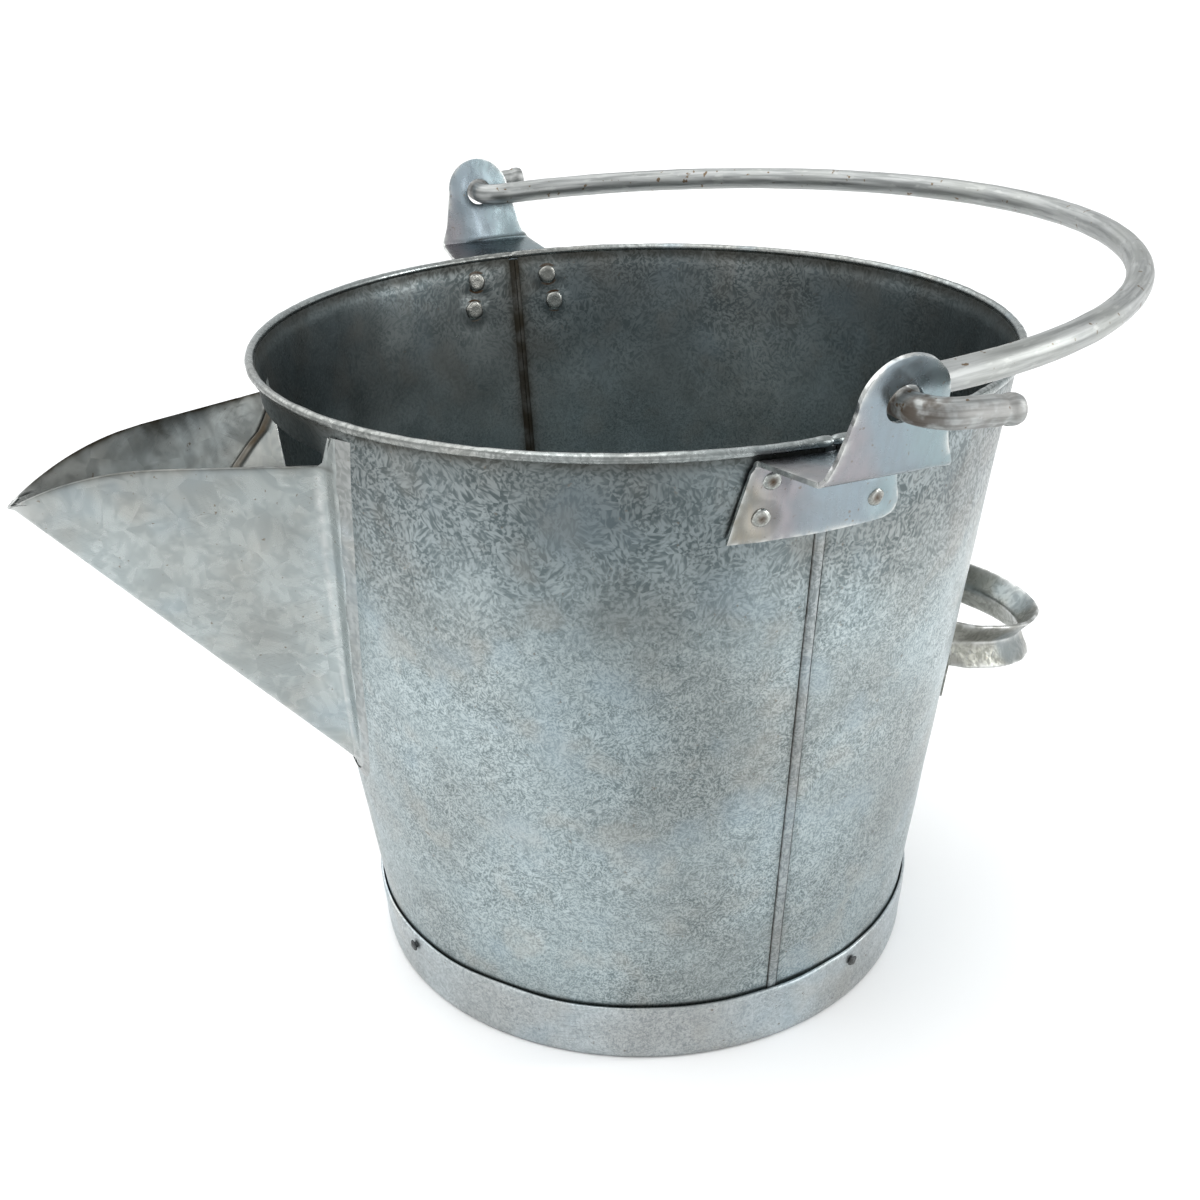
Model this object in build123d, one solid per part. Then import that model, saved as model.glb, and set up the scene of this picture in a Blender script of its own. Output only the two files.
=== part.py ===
from build123d import *
import math
import os

# A galvanised sheet-steel pouring pail: a tapered body with a wired rim, a folded V spout in front (-X),
# a riveted ear on each side (+Y and -Y), a swinging rod bail and a strap tipping handle behind (+X).
# Millimetres, +Z up. The origin is the middle of the base, on the plane that the foot ring stands on.

# ---- driving dimensions ----
PAIL_HEIGHT = 266.0
MOUTH_RADIUS = 150.0
BEAD_RADIUS = 1.8
BEAD_SHEET = 0.7
WIRE_CLEARANCE = 0.1
SHEET = 1.0
WALL_TOP_RADIUS = 146.9
WALL_LOW_RADIUS = 117.6
WALL_BOTTOM = 8.0

FOOT_HEIGHT = 26.5
FOOT_TOP_RADIUS = 119.4
FOOT_BASE_RADIUS = 117.4
FOOT_SHEET = 1.2
FOOT_HEM_HEIGHT = 7.0
FOOT_EDGE_ROUND = 0.8

SEAM_WIDTH = 5.5
SEAM_CENTRE_X = 2.6
SEAM_PROUD_OUTSIDE = 1.2
SEAM_PROUD_INSIDE = 0.3

DECK_TOP = 25.0
DECK_FLANGE_GAP = 0.05
FOLD_BOTTOM = 6.0
FOLD_TOP = 15.0
FOLD_GAP = 0.1

SPOUT_SHEET = 0.9
SPOUT_TIP_X = -239.0
SPOUT_TIP_Z = 232.4
KEEL_RUN_PER_RISE = 0.8513
KEEL_ROUND_AT_TIP = 4.0
KEEL_ROUND_GROWTH = 0.08
SPOUT_HALF_ANGLE = 22.4
SPOUT_EDGE_Z = 245.4
SPOUT_CURVE_START_X = -188.0
SPOUT_CURVE_RADIUS = 96.0
SPOUT_FLANGE_WIDTH = 7.0
SPOUT_FLANGE_TOP = 258.5
SPOUT_FLANGE_BOTTOM = 95.0
VEE_BACK_X = -60.0
VEE_LOW = 70.0
VEE_HIGH = 262.0
OPENING_TOP = 250.5
OPENING_BACK_X = -100.0
TONGUE_SHEET = 0.9
TONGUE_GAP = 0.05
TONGUE_SPLIT = 3.0
TONGUE_SIDE = ((-125, 112), (-133, 238), (-139, 241), (-143.6, 231), (-158.8, 222), (-167, 213))
SOLDER_WIDTH = 3.0
SOLDER_THICKNESS = 0.5

ROD_RADIUS = 5.0
PIVOT_Z = 288.0
BAIL_HALF_WIDTH = 174.4
BAIL_REACH = 192.0
BAIL_APEX_RADIUS = 158.0
BAIL_ARM_START = 10.0
BAIL_REST_ANGLE = 1.5
ROD_BEND_RADIUS = 10.0
NECK_BEND_RADIUS = 8.5
HOOK_Y = 200.5
NEAR_HOOK_LENGTH = 30.0
NEAR_HOOK_TILT = -6.0
FAR_HOOK_LENGTH = 27.0
FAR_HOOK_TILT = 5.0
ROD_END_CHAMFER = 0.8

EAR_SHEET = 1.7
EAR_STANDOFF = 1.4
EAR_PLATE_BOTTOM = 233.0
EAR_PLATE_HALF_BOTTOM = 31.5
EAR_PLATE_HALF_TOP = 24.5
EAR_PLATE_CORNER = 6.0
EAR_SHELF_TOP = 261.6
EAR_SHELF_RISE = 3.8
EAR_SHELF_HALF_WIDTH = 21.5
EAR_BEND_RADIUS = 3.0
EAR_TAB_Y = 182.5
EAR_TAB_LEAN = 13.0
EAR_TAB_HALF_BASE = 19.0
EAR_TAB_SHOULDER = 5.0
EAR_TAB_ROUND = 15.0
EAR_HOLE_RADIUS = 6.0
EAR_ROOT_LAP = 1.5
EAR_PLATE_TOP_LAP = 0.8
EAR_RIVETS = ((-18.0, 254.2), (18.0, 254.2), (-20.5, 241.5), (20.5, 241.5))

RIVET_SHANK_RADIUS = 2.2
RIVET_CLEARANCE = 0.05
RIVET_OUTER_RADIUS = 3.2
RIVET_INNER_RADIUS = 4.4
RIVET_HEAD_HEIGHT = 1.3
RIVET_SEAT_GAP = 0.06
RIVET_OUTER_TAPER = 25.0
RIVET_INNER_TAPER = 30.0
SHANK_LAP = 0.2
HOLE_REACH = 12.0

NAIL_ANGLES = (-167.5, -67.5, 22.5, 112.5)
NAIL_Z = 20.0
NAIL_SHANK_RADIUS = 1.4
NAIL_HEAD_SIDE = 3.6
NAIL_HEAD_HEIGHT = 1.2
NAIL_HEAD_TURN = 20.0
NAIL_SEAT_GAP = 0.25
NAIL_CLINCH_RADIUS = 2.2
NAIL_CLINCH_HEIGHT = 0.8
NAIL_CLINCH_GAP = 0.6

HANDLE_SHEET = 1.5
HANDLE_HALF_HEIGHT = 10.3
HANDLE_GROOVE_DEPTH = 6.8
HANDLE_CREASE_SHEET = 2.4
HANDLE_EDGE_SHEET = 1.2
HANDLE_ARM_OVERLAP = 15.0
HANDLE_LOOP_RADIUS = 46.3
HANDLE_REACH = 191.0
HANDLE_ROOT_X = 125.0
HANDLE_ROOT_Z = 120.0
HANDLE_TILT = 12.6
HANDLE_FOOT_LENGTH = 26.0
HANDLE_FOOT_HEIGHT = 20.0
HANDLE_RIVET_OFFSETS = (9.0, 19.0)

FAR = 400.0
CUT_OVERLAP = 1.0

WALL_TOP = PAIL_HEIGHT - 2 * BEAD_RADIUS + 0.1
WALL_SLOPE = (WALL_TOP_RADIUS - WALL_LOW_RADIUS) / (WALL_TOP - FOOT_HEIGHT)
WALL_LEAN = math.degrees(math.atan(WALL_SLOPE))


# ---- shared geometry ----
def wall_radius(z):
    """The outside radius of the tapered wall at height z."""
    return WALL_LOW_RADIUS + WALL_SLOPE * (z - FOOT_HEIGHT)


def foot_radius(z):
    """The outside radius of the foot ring at height z: it tapers with the wall, but less."""
    return FOOT_BASE_RADIUS + (FOOT_TOP_RADIUS - FOOT_BASE_RADIUS) * z / FOOT_HEIGHT


def turned(points):
    """A full turn about Z of the closed outline whose points are (radius, height)."""
    outline = make_face(Polyline(*points, close=True))
    return revolve(Plane.XZ * outline, Axis.Z, 360)


def wall_shell(low, high, inner, outer):
    """A conical shell that follows the wall, from inner to outer millimetres outside its outer face."""
    return turned([
        (wall_radius(low) + inner, low),
        (wall_radius(low) + outer, low),
        (wall_radius(high) + outer, high),
        (wall_radius(high) + inner, high),
    ])


def wall_core(offset):
    """The solid cone inside the wall's outer face, grown by offset."""
    low, high = 0.0, PAIL_HEIGHT + 30.0
    return turned([
        (0, low),
        (wall_radius(low) + offset, low),
        (wall_radius(high) + offset, high),
        (0, high),
    ])


def slab(x_range, y_range, z_range):
    """A box between two values on each axis."""
    sizes = [high - low for low, high in (x_range, y_range, z_range)]
    middle = [(high + low) / 2 for low, high in (x_range, y_range, z_range)]
    return Pos(*middle) * Box(*sizes)


def side_profile(points):
    """A prism right through the part along Y, whose outline points are (x, z)."""
    return extrude(Plane.XZ * make_face(Polyline(*points, close=True)), FAR, both=True)


def wall_location(angle, z):
    """A place on the wall's outer face: local Z points straight out of the wall, local Y up along it."""
    a = math.radians(angle)
    lean = math.radians(WALL_LEAN)
    out = Vector(math.cos(a) * math.cos(lean), math.sin(a) * math.cos(lean), -math.sin(lean))
    across = Vector(-math.sin(a), math.cos(a), 0)
    radius = wall_radius(z)
    return Plane(origin=(radius * math.cos(a), radius * math.sin(a), z), x_dir=across, z_dir=out)


def rod(place, radius, low, high):
    """A round bar along a place's local Z, from low to high."""
    return place * Pos(0, 0, (low + high) / 2) * Cylinder(radius, high - low)


# ---- the spout's V, used by the spout, the wall's opening and the solder ----
def keel_x(z):
    return SPOUT_TIP_X + (SPOUT_TIP_Z - z) * KEEL_RUN_PER_RISE


def keel_round(z):
    return KEEL_ROUND_AT_TIP + (SPOUT_TIP_Z - z) * KEEL_ROUND_GROWTH


def vee_section(z, grow, back_x):
    """The V at one height: two straight legs, tangent to the rounded keel, closed by a line at back_x."""
    half = math.radians(SPOUT_HALF_ANGLE)
    centre = keel_x(z) + keel_round(z)
    radius = keel_round(z) + grow
    touch_x = centre - radius * math.sin(half)
    touch_y = radius * math.cos(half)
    back_y = touch_y + (back_x - touch_x) * math.tan(half)
    legs = [Line((back_x, side * back_y), (touch_x, side * touch_y)) for side in (1, -1)]
    keel = ThreePointArc((touch_x, touch_y), (centre - radius, 0), (touch_x, -touch_y))
    back = Line((back_x, -back_y), (back_x, back_y))
    return Pos(0, 0, z) * make_face([legs[0], keel, legs[1], back])


def vee(grow, back_x=VEE_BACK_X, low=VEE_LOW, high=VEE_HIGH):
    """The solid V between two heights: flat sides and a keel whose rounding grows downwards."""
    return loft([vee_section(low, grow, back_x), vee_section(high, grow, back_x)], ruled=True)


# ---- the rivets ----
def ear_rivet_places(side):
    places = []
    for x, z in EAR_RIVETS:
        angle = math.degrees(math.asin(x / wall_radius(z)))
        places.append(wall_location(side * (90 - angle), z))
    return places


def handle_rivet_places(side):
    start = math.degrees(math.asin(HANDLE_LOOP_RADIUS / wall_radius(HANDLE_ROOT_Z)))
    step = math.degrees(1 / wall_radius(HANDLE_ROOT_Z))
    return [wall_location(side * (start + offset * step), HANDLE_ROOT_Z) for offset in HANDLE_RIVET_OFFSETS]


def nail_places():
    return [wall_location(angle, NAIL_Z) for angle in NAIL_ANGLES]


def rivet(place, grip):
    """A rivet from inside the wall to the top of a stack grip thick, with a wide head inside the pail."""
    shank = rod(place, RIVET_SHANK_RADIUS, -SHEET - SHANK_LAP, grip + SHANK_LAP)
    outside = extrude(Circle(RIVET_OUTER_RADIUS), RIVET_HEAD_HEIGHT, taper=RIVET_OUTER_TAPER)
    inside = extrude(Circle(RIVET_INNER_RADIUS), -RIVET_HEAD_HEIGHT, taper=RIVET_INNER_TAPER)
    shank += place * Pos(0, 0, grip + RIVET_SEAT_GAP) * outside
    return shank + place * Pos(0, 0, -SHEET - RIVET_SEAT_GAP) * inside


def nail(place):
    """A clout nail through the foot ring and the body, clinched inside, with a square head."""
    ring_face = (foot_radius(NAIL_Z) - wall_radius(NAIL_Z)) / math.cos(math.radians(WALL_LEAN))
    ring_face += NAIL_SEAT_GAP
    inside = -2 * SHEET - NAIL_CLINCH_GAP
    shank = rod(place, NAIL_SHANK_RADIUS, inside - SHANK_LAP, ring_face + SHANK_LAP)
    head = Rot(0, 0, NAIL_HEAD_TURN) * Box(NAIL_HEAD_SIDE, NAIL_HEAD_SIDE, NAIL_HEAD_HEIGHT)
    shank += place * Pos(0, 0, ring_face + NAIL_HEAD_HEIGHT / 2) * head
    return shank + rod(place, NAIL_CLINCH_RADIUS, inside - NAIL_CLINCH_HEIGHT, inside)


def without_holes(shape, places, radius):
    """The shape with a round clearance hole along each place's local Z."""
    for place in places:
        shape -= rod(place, radius + RIVET_CLEARANCE, -HOLE_REACH, HOLE_REACH)
    return shape


# ---- the body ----
def body_shell():
    shell = wall_shell(WALL_BOTTOM, WALL_TOP, -SHEET, 0)
    for side in (-1, 1):
        shell = without_holes(shell, ear_rivet_places(side), RIVET_SHANK_RADIUS)
        shell = without_holes(shell, handle_rivet_places(side), RIVET_SHANK_RADIUS)
    return without_holes(shell, nail_places(), NAIL_SHANK_RADIUS)


def spout_tongues():
    """The wall's cut sheet, turned out on each side of the opening and laid against the spout's inside."""
    outer = -SPOUT_SHEET - TONGUE_GAP
    sheet = vee(outer, high=OPENING_TOP)
    sheet -= vee(
        outer - TONGUE_SHEET,
        VEE_BACK_X + CUT_OVERLAP,
        VEE_LOW - CUT_OVERLAP,
        OPENING_TOP + CUT_OVERLAP,
    )
    sheet &= side_profile(TONGUE_SIDE)
    sheet -= wall_core(-SHEET)
    return sheet - slab((-FAR, 0), (-TONGUE_SPLIT, TONGUE_SPLIT), (0, FAR))


def body_front_panel(shell):
    panel = shell & slab((-FAR, SEAM_CENTRE_X - SEAM_WIDTH / 2), (-FAR, FAR), (0, FAR))
    opening = vee(-SPOUT_SHEET - TONGUE_GAP - TONGUE_SHEET, high=OPENING_TOP)
    opening &= slab((-FAR, OPENING_BACK_X), (-FAR, FAR), (0, FAR))
    return panel - opening + spout_tongues()


def body_rear_panel(shell):
    return shell & slab((SEAM_CENTRE_X + SEAM_WIDTH / 2, FAR), (-FAR, FAR), (0, FAR))


def side_seam(side):
    """The locked fold that joins the two body panels, proud of the wall outside and a little inside."""
    inner = -SHEET
    flat_top = FOOT_HEIGHT + 0.5
    top = WALL_TOP - 0.6
    ring = turned([
        (wall_radius(WALL_BOTTOM) + inner, WALL_BOTTOM),
        (wall_radius(WALL_BOTTOM), WALL_BOTTOM),
        (wall_radius(flat_top), flat_top),
        (wall_radius(flat_top + 1) + SEAM_PROUD_OUTSIDE, flat_top + 1),
        (wall_radius(top) + SEAM_PROUD_OUTSIDE, top),
        (wall_radius(top) + inner - SEAM_PROUD_INSIDE, top),
        (wall_radius(flat_top) + inner - SEAM_PROUD_INSIDE, flat_top),
        (wall_radius(flat_top) + inner, flat_top),
    ])
    x_range = (SEAM_CENTRE_X - SEAM_WIDTH / 2, SEAM_CENTRE_X + SEAM_WIDTH / 2)
    return ring & slab(x_range, (0, FAR) if side > 0 else (-FAR, 0), (0, FAR))


def rim_bead():
    centre = Pos(0, 0, PAIL_HEIGHT - BEAD_RADIUS)
    middle = MOUTH_RADIUS - BEAD_RADIUS
    return centre * (Torus(middle, BEAD_RADIUS) - Torus(middle, BEAD_RADIUS - BEAD_SHEET))


def rim_wire():
    wire_radius = BEAD_RADIUS - BEAD_SHEET - WIRE_CLEARANCE
    return Pos(0, 0, PAIL_HEIGHT - BEAD_RADIUS) * Torus(MOUTH_RADIUS - BEAD_RADIUS, wire_radius)


def bottom_disc():
    """The recessed bottom: a flat deck, a turned-down flange and a fold round the wall's lower edge."""
    inset = -SHEET - DECK_FLANGE_GAP
    fold_in = -FOOT_SHEET - FOLD_GAP
    disc = turned([
        (0, DECK_TOP - SHEET),
        (wall_radius(DECK_TOP) + inset - SHEET, DECK_TOP - SHEET),
        (wall_radius(FOLD_BOTTOM) + inset - SHEET, FOLD_BOTTOM),
        (foot_radius(FOLD_BOTTOM) + fold_in, FOLD_BOTTOM),
        (foot_radius(FOLD_TOP) + fold_in, FOLD_TOP),
        (wall_radius(FOLD_TOP) + FOLD_GAP, FOLD_TOP),
        (wall_radius(WALL_BOTTOM) + FOLD_GAP, WALL_BOTTOM - 0.3),
        (wall_radius(WALL_BOTTOM) + inset, WALL_BOTTOM - 0.3),
        (wall_radius(DECK_TOP) + inset, DECK_TOP),
        (0, DECK_TOP),
    ])
    return without_holes(disc, nail_places(), NAIL_SHANK_RADIUS)


def foot_ring():
    """A tapered band round the body's lower end, hemmed inwards along its base."""
    hem = FOOT_BASE_RADIUS - 2 * FOOT_SHEET
    outline = make_face(Polyline(
        (FOOT_BASE_RADIUS, 0),
        (FOOT_TOP_RADIUS, FOOT_HEIGHT),
        (FOOT_TOP_RADIUS - FOOT_SHEET, FOOT_HEIGHT),
        (foot_radius(FOOT_HEM_HEIGHT) - FOOT_SHEET, FOOT_HEM_HEIGHT),
        (hem, FOOT_HEM_HEIGHT - FOOT_SHEET),
        (hem, 0),
        close=True,
    ))
    corners = outline.vertices().filter_by(lambda v: v.Y < 0.01)
    ring = revolve(Plane.XZ * fillet(corners, FOOT_EDGE_ROUND), Axis.Z, 360)
    ring -= turned([
        (0, FOLD_BOTTOM),
        (foot_radius(FOLD_BOTTOM) - FOOT_SHEET, FOLD_BOTTOM),
        (foot_radius(FOLD_TOP) - FOOT_SHEET, FOLD_TOP),
        (0, FOLD_TOP),
    ])
    return without_holes(ring, nail_places(), NAIL_SHANK_RADIUS)


# ---- the spout ----
def spout_top_cut():
    """What is taken off above the spout's edge: level from the wall, then an arc down to the tip."""
    end_x = SPOUT_TIP_X - 8.0
    start = (SPOUT_CURVE_START_X, SPOUT_EDGE_Z)

    def drop(x):
        run = SPOUT_CURVE_START_X - x
        return SPOUT_EDGE_Z - SPOUT_CURVE_RADIUS + math.sqrt(SPOUT_CURVE_RADIUS ** 2 - run ** 2)

    middle_x = (end_x + SPOUT_CURVE_START_X) / 2
    curve = ThreePointArc(start, (middle_x, drop(middle_x)), (end_x, drop(end_x)))
    rest = Polyline(
        (end_x, drop(end_x)),
        (-FAR, drop(end_x)),
        (-FAR, FAR),
        (OPENING_BACK_X, FAR),
        (OPENING_BACK_X, SPOUT_EDGE_Z),
        start,
    )
    return extrude(Plane.XZ * make_face([curve, rest]), FAR, both=True)


def vee_hollow(grow):
    """The V grown by grow and taken a little past its ends, to cut with."""
    return vee(grow, VEE_BACK_X + CUT_OVERLAP, VEE_LOW - CUT_OVERLAP, VEE_HIGH + CUT_OVERLAP)


def spout():
    hollow = vee_hollow(-SPOUT_SHEET)
    sides = vee(0) - hollow - wall_core(0) - spout_top_cut()
    flange = wall_shell(SPOUT_FLANGE_BOTTOM, SPOUT_FLANGE_TOP, 0, SPOUT_SHEET) & vee(SPOUT_FLANGE_WIDTH)
    return sides + (flange - hollow)


def spout_solder():
    """The bead of solder that closes the flange's outer edge to the wall."""
    band = wall_shell(SPOUT_FLANGE_BOTTOM - SOLDER_WIDTH, SPOUT_FLANGE_TOP, 0, SOLDER_THICKNESS)
    band &= vee(SPOUT_FLANGE_WIDTH + SOLDER_WIDTH)
    inside = vee_hollow(SPOUT_FLANGE_WIDTH) & slab((-FAR, 0), (-FAR, FAR), (SPOUT_FLANGE_BOTTOM, FAR))
    return band - inside


# ---- the ears, which hold the bail ----
def ear_plate():
    """The riveted part of the +Y ear, curved with the wall, with one corner cut off."""
    plate_top = EAR_SHELF_TOP - EAR_PLATE_TOP_LAP
    plate = wall_shell(EAR_PLATE_BOTTOM, plate_top, EAR_STANDOFF, EAR_STANDOFF + EAR_SHEET)
    corner = EAR_PLATE_CORNER
    plate &= side_profile([
        (-EAR_PLATE_HALF_BOTTOM, EAR_PLATE_BOTTOM),
        (EAR_PLATE_HALF_BOTTOM - corner, EAR_PLATE_BOTTOM),
        (EAR_PLATE_HALF_BOTTOM - 1, EAR_PLATE_BOTTOM + corner),
        (EAR_PLATE_HALF_TOP, EAR_SHELF_TOP),
        (-EAR_PLATE_HALF_TOP, EAR_SHELF_TOP),
    ])
    return plate & slab((-FAR, FAR), (0, FAR), (0, FAR))


def ear_strip(root_y, shelf_top_at_tab):
    """The shelf and the leaning tab as one bent strip, as wide as the plate, with rounded bends."""
    lean = math.tan(math.radians(EAR_TAB_LEAN))
    tab_inner = EAR_TAB_Y - EAR_SHEET / 2
    tab_outer = EAR_TAB_Y + EAR_SHEET / 2
    tab_rise = PIVOT_Z + EAR_TAB_ROUND + 2 - shelf_top_at_tab
    side = make_face(Polyline(
        (root_y, EAR_SHELF_TOP),
        (tab_inner, shelf_top_at_tab),
        (tab_inner + tab_rise * lean, shelf_top_at_tab + tab_rise),
        (tab_outer + tab_rise * lean, shelf_top_at_tab + tab_rise),
        (tab_outer, shelf_top_at_tab - EAR_SHEET),
        (root_y, EAR_SHELF_TOP - EAR_SHEET),
        close=True,
    ))
    inner_bend = side.vertices().sort_by_distance((tab_inner, shelf_top_at_tab))[0]
    side = fillet(inner_bend, EAR_BEND_RADIUS)
    outer_bend = side.vertices().sort_by_distance((tab_outer, shelf_top_at_tab - EAR_SHEET))[0]
    side = fillet(outer_bend, EAR_BEND_RADIUS + EAR_SHEET)
    return extrude(Plane.YZ * side, EAR_PLATE_HALF_TOP, both=True)


def ear_outline(root_y, shelf_top_at_tab):
    """The shelf's taper seen from above, together with the tab's sides and round top seen from the front."""
    tab_y = EAR_TAB_Y - EAR_SHEET
    above = make_face(Polyline(
        (-EAR_PLATE_HALF_TOP, root_y),
        (-EAR_SHELF_HALF_WIDTH, tab_y),
        (-EAR_SHELF_HALF_WIDTH, FAR),
        (EAR_SHELF_HALF_WIDTH, FAR),
        (EAR_SHELF_HALF_WIDTH, tab_y),
        (EAR_PLATE_HALF_TOP, root_y),
        close=True,
    ))
    shoulder_z = shelf_top_at_tab + EAR_TAB_SHOULDER
    flare = math.asin((EAR_TAB_HALF_BASE - EAR_TAB_ROUND) / (PIVOT_Z - shoulder_z))
    side_x = EAR_TAB_ROUND * math.cos(flare)
    side_z = PIVOT_Z + EAR_TAB_ROUND * math.sin(flare)
    front = side_profile([
        (-EAR_PLATE_HALF_TOP, 0),
        (-EAR_PLATE_HALF_TOP, shelf_top_at_tab - 2),
        (-EAR_TAB_HALF_BASE, shoulder_z),
        (-side_x, side_z),
        (side_x, side_z),
        (EAR_TAB_HALF_BASE, shoulder_z),
        (EAR_PLATE_HALF_TOP, shelf_top_at_tab - 2),
        (EAR_PLATE_HALF_TOP, 0),
    ])
    front += Pos(0, 0, PIVOT_Z) * Rot(90, 0, 0) * Cylinder(EAR_TAB_ROUND, 2 * FAR)
    return extrude(above, FAR) & front


def ear():
    """The ear on the +Y side: a curved plate on the wall, a shelf out under the rim and a leaning tab."""
    root_y = wall_radius(EAR_SHELF_TOP) + EAR_STANDOFF - EAR_ROOT_LAP
    shelf_top_at_tab = EAR_SHELF_TOP + EAR_SHELF_RISE
    strip = ear_strip(root_y, shelf_top_at_tab) & ear_outline(root_y, shelf_top_at_tab)
    strip -= wall_core(EAR_STANDOFF)
    whole = ear_plate() + strip
    whole -= Pos(0, 0, PIVOT_Z) * Rot(90, 0, 0) * Cylinder(EAR_HOLE_RADIUS, 2 * FAR)
    return without_holes(whole, ear_rivet_places(1), RIVET_SHANK_RADIUS)


# ---- the bail ----
def hook_points(side, length, tilt):
    """The route of one bent rod end, from its tip to the arm: corner points, outermost first."""
    run = math.radians(tilt)
    return [
        Vector(length * math.cos(run), side * HOOK_Y, length * math.sin(run)),
        Vector(0, side * HOOK_Y, 0),
        Vector(0, side * BAIL_HALF_WIDTH, 0),
    ]


def rounded(before, corner, after, radius):
    """The arc that rounds one corner of the rod: its start, middle and end points."""
    a = (before - corner).normalized()
    b = (after - corner).normalized()
    half = math.radians(a.get_angle(b)) / 2
    trim = radius / math.tan(half)
    centre = corner + (a + b).normalized() * (radius / math.sin(half))
    start = corner + a * trim
    end = corner + b * trim
    middle = centre + (corner - centre).normalized() * radius
    return start, middle, end


def bail():
    """One round rod: a hooked end, a near-elliptical bow of three arcs and the other hooked end."""
    # the flank arcs start level with the arm and meet the apex arc in one tangent line
    along = BAIL_REACH - BAIL_ARM_START - BAIL_APEX_RADIUS
    across = BAIL_HALF_WIDTH - BAIL_APEX_RADIUS
    extra = (along ** 2 + across ** 2) / (2 * across)
    flank_radius = BAIL_APEX_RADIUS + extra
    turn = math.acos((extra - across) / extra)
    apex_centre_x = BAIL_REACH - BAIL_APEX_RADIUS

    def flank_point(side, angle):
        return Vector(
            BAIL_ARM_START + flank_radius * math.sin(angle),
            side * (BAIL_HALF_WIDTH - flank_radius * (1 - math.cos(angle))),
            0,
        )

    edges = []
    arcs = {}
    for side, length, tilt in ((-1, NEAR_HOOK_LENGTH, NEAR_HOOK_TILT), (1, FAR_HOOK_LENGTH, FAR_HOOK_TILT)):
        tip, outer, inner = hook_points(side, length, tilt)
        arm = Vector(BAIL_ARM_START, side * BAIL_HALF_WIDTH, 0)
        hook = rounded(tip, outer, inner, ROD_BEND_RADIUS)
        neck = rounded(outer, inner, arm, NECK_BEND_RADIUS)
        arcs[side] = (tip, hook, neck, arm)
    for side in (-1, 1):
        tip, hook, neck, arm = arcs[side]
        edges += [
            Line(tip, hook[0]),
            ThreePointArc(*hook),
            Line(hook[2], neck[0]),
            ThreePointArc(*neck),
            Line(neck[2], arm),
            ThreePointArc(arm, flank_point(side, turn / 2), flank_point(side, turn)),
        ]
    apex = Vector(apex_centre_x + BAIL_APEX_RADIUS, 0, 0)
    edges.append(ThreePointArc(flank_point(-1, turn), apex, flank_point(1, turn)))
    path = Wire(edges)
    tip, hook = arcs[-1][:2]
    section = Plane(origin=tip, z_dir=hook[0] - tip) * Circle(ROD_RADIUS)
    rod_solid = sweep(section, path=path)
    ends = rod_solid.faces().filter_by(GeomType.PLANE)
    rod_solid = chamfer(ends.edges(), ROD_END_CHAMFER)
    return Pos(0, 0, PIVOT_Z) * Rot(0, -BAIL_REST_ANGLE, 0) * rod_solid


# ---- the tipping handle ----
def handle_section():
    """The strap's V groove: the crease faces the hand, the two edges stand outwards. Local X is outwards."""
    depth = HANDLE_GROOVE_DEPTH
    tall = HANDLE_HALF_HEIGHT
    outline = Polyline(
        (0, 0),
        (depth, tall),
        (depth + HANDLE_EDGE_SHEET, tall - HANDLE_SHEET),
        (HANDLE_CREASE_SHEET, 0),
        (depth + HANDLE_EDGE_SHEET, HANDLE_SHEET - tall),
        (depth, -tall),
        close=True,
    )
    return make_face(outline)


def rear_handle():
    loop_centre = HANDLE_REACH - HANDLE_LOOP_RADIUS
    section = handle_section()
    around = Plane(origin=(loop_centre, -HANDLE_LOOP_RADIUS, 0), x_dir=(0, -1, 0), z_dir=(1, 0, 0))
    loop = revolve(around * section, Axis((loop_centre, 0, 0), (0, 0, 1)), 180)
    strap = loop
    for side in (-1, 1):
        arm = Plane(
            origin=(loop_centre, side * HANDLE_LOOP_RADIUS, 0), x_dir=(0, side, 0), z_dir=(-1, 0, 0))
        strap += extrude(arm * section, loop_centre - HANDLE_ROOT_X + HANDLE_ARM_OVERLAP)
    strap = Pos(HANDLE_ROOT_X, 0, HANDLE_ROOT_Z) * Rot(0, HANDLE_TILT, 0) * Pos(-HANDLE_ROOT_X, 0, 0) * strap
    strap -= wall_core(0)

    # the feet, curved with the wall and turned away from the loop
    half = HANDLE_FOOT_HEIGHT / 2
    band = wall_shell(HANDLE_ROOT_Z - half, HANDLE_ROOT_Z + half, 0, HANDLE_SHEET)
    for side in (-1, 1):
        inner_y = side * HANDLE_LOOP_RADIUS
        outer_y = side * (HANDLE_LOOP_RADIUS + HANDLE_FOOT_LENGTH)
        strap += band & slab((0, FAR), (min(inner_y, outer_y), max(inner_y, outer_y)), (0, FAR))
        strap = without_holes(strap, handle_rivet_places(side), RIVET_SHANK_RADIUS)
    return strap


# ---- write the nodes ----
def all_nodes():
    shell = body_shell()
    nodes = {
        "body_front_panel": body_front_panel(shell),
        "body_rear_panel": body_rear_panel(shell),
        "near_side_seam": side_seam(-1),
        "far_side_seam": side_seam(1),
        "rim_bead": rim_bead(),
        "rim_wire": rim_wire(),
        "bottom_disc": bottom_disc(),
        "foot_ring": foot_ring(),
        "spout": spout(),
        "spout_solder": spout_solder(),
        "bail": bail(),
        "rear_handle": rear_handle(),
    }
    far_ear = ear()
    nodes["far_ear"] = far_ear
    nodes["near_ear"] = mirror(far_ear, Plane.XZ)
    for name, side in (("near", -1), ("far", 1)):
        for number, place in enumerate(ear_rivet_places(side), 1):
            nodes[f"{name}_ear_rivet_{number}"] = rivet(place, EAR_STANDOFF + EAR_SHEET)
        for number, place in enumerate(handle_rivet_places(side), 1):
            nodes[f"handle_{name}_rivet_{number}"] = rivet(place, HANDLE_SHEET)
    for number, place in enumerate(nail_places(), 1):
        nodes[f"foot_nail_{number}"] = nail(place)
    return nodes


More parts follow.
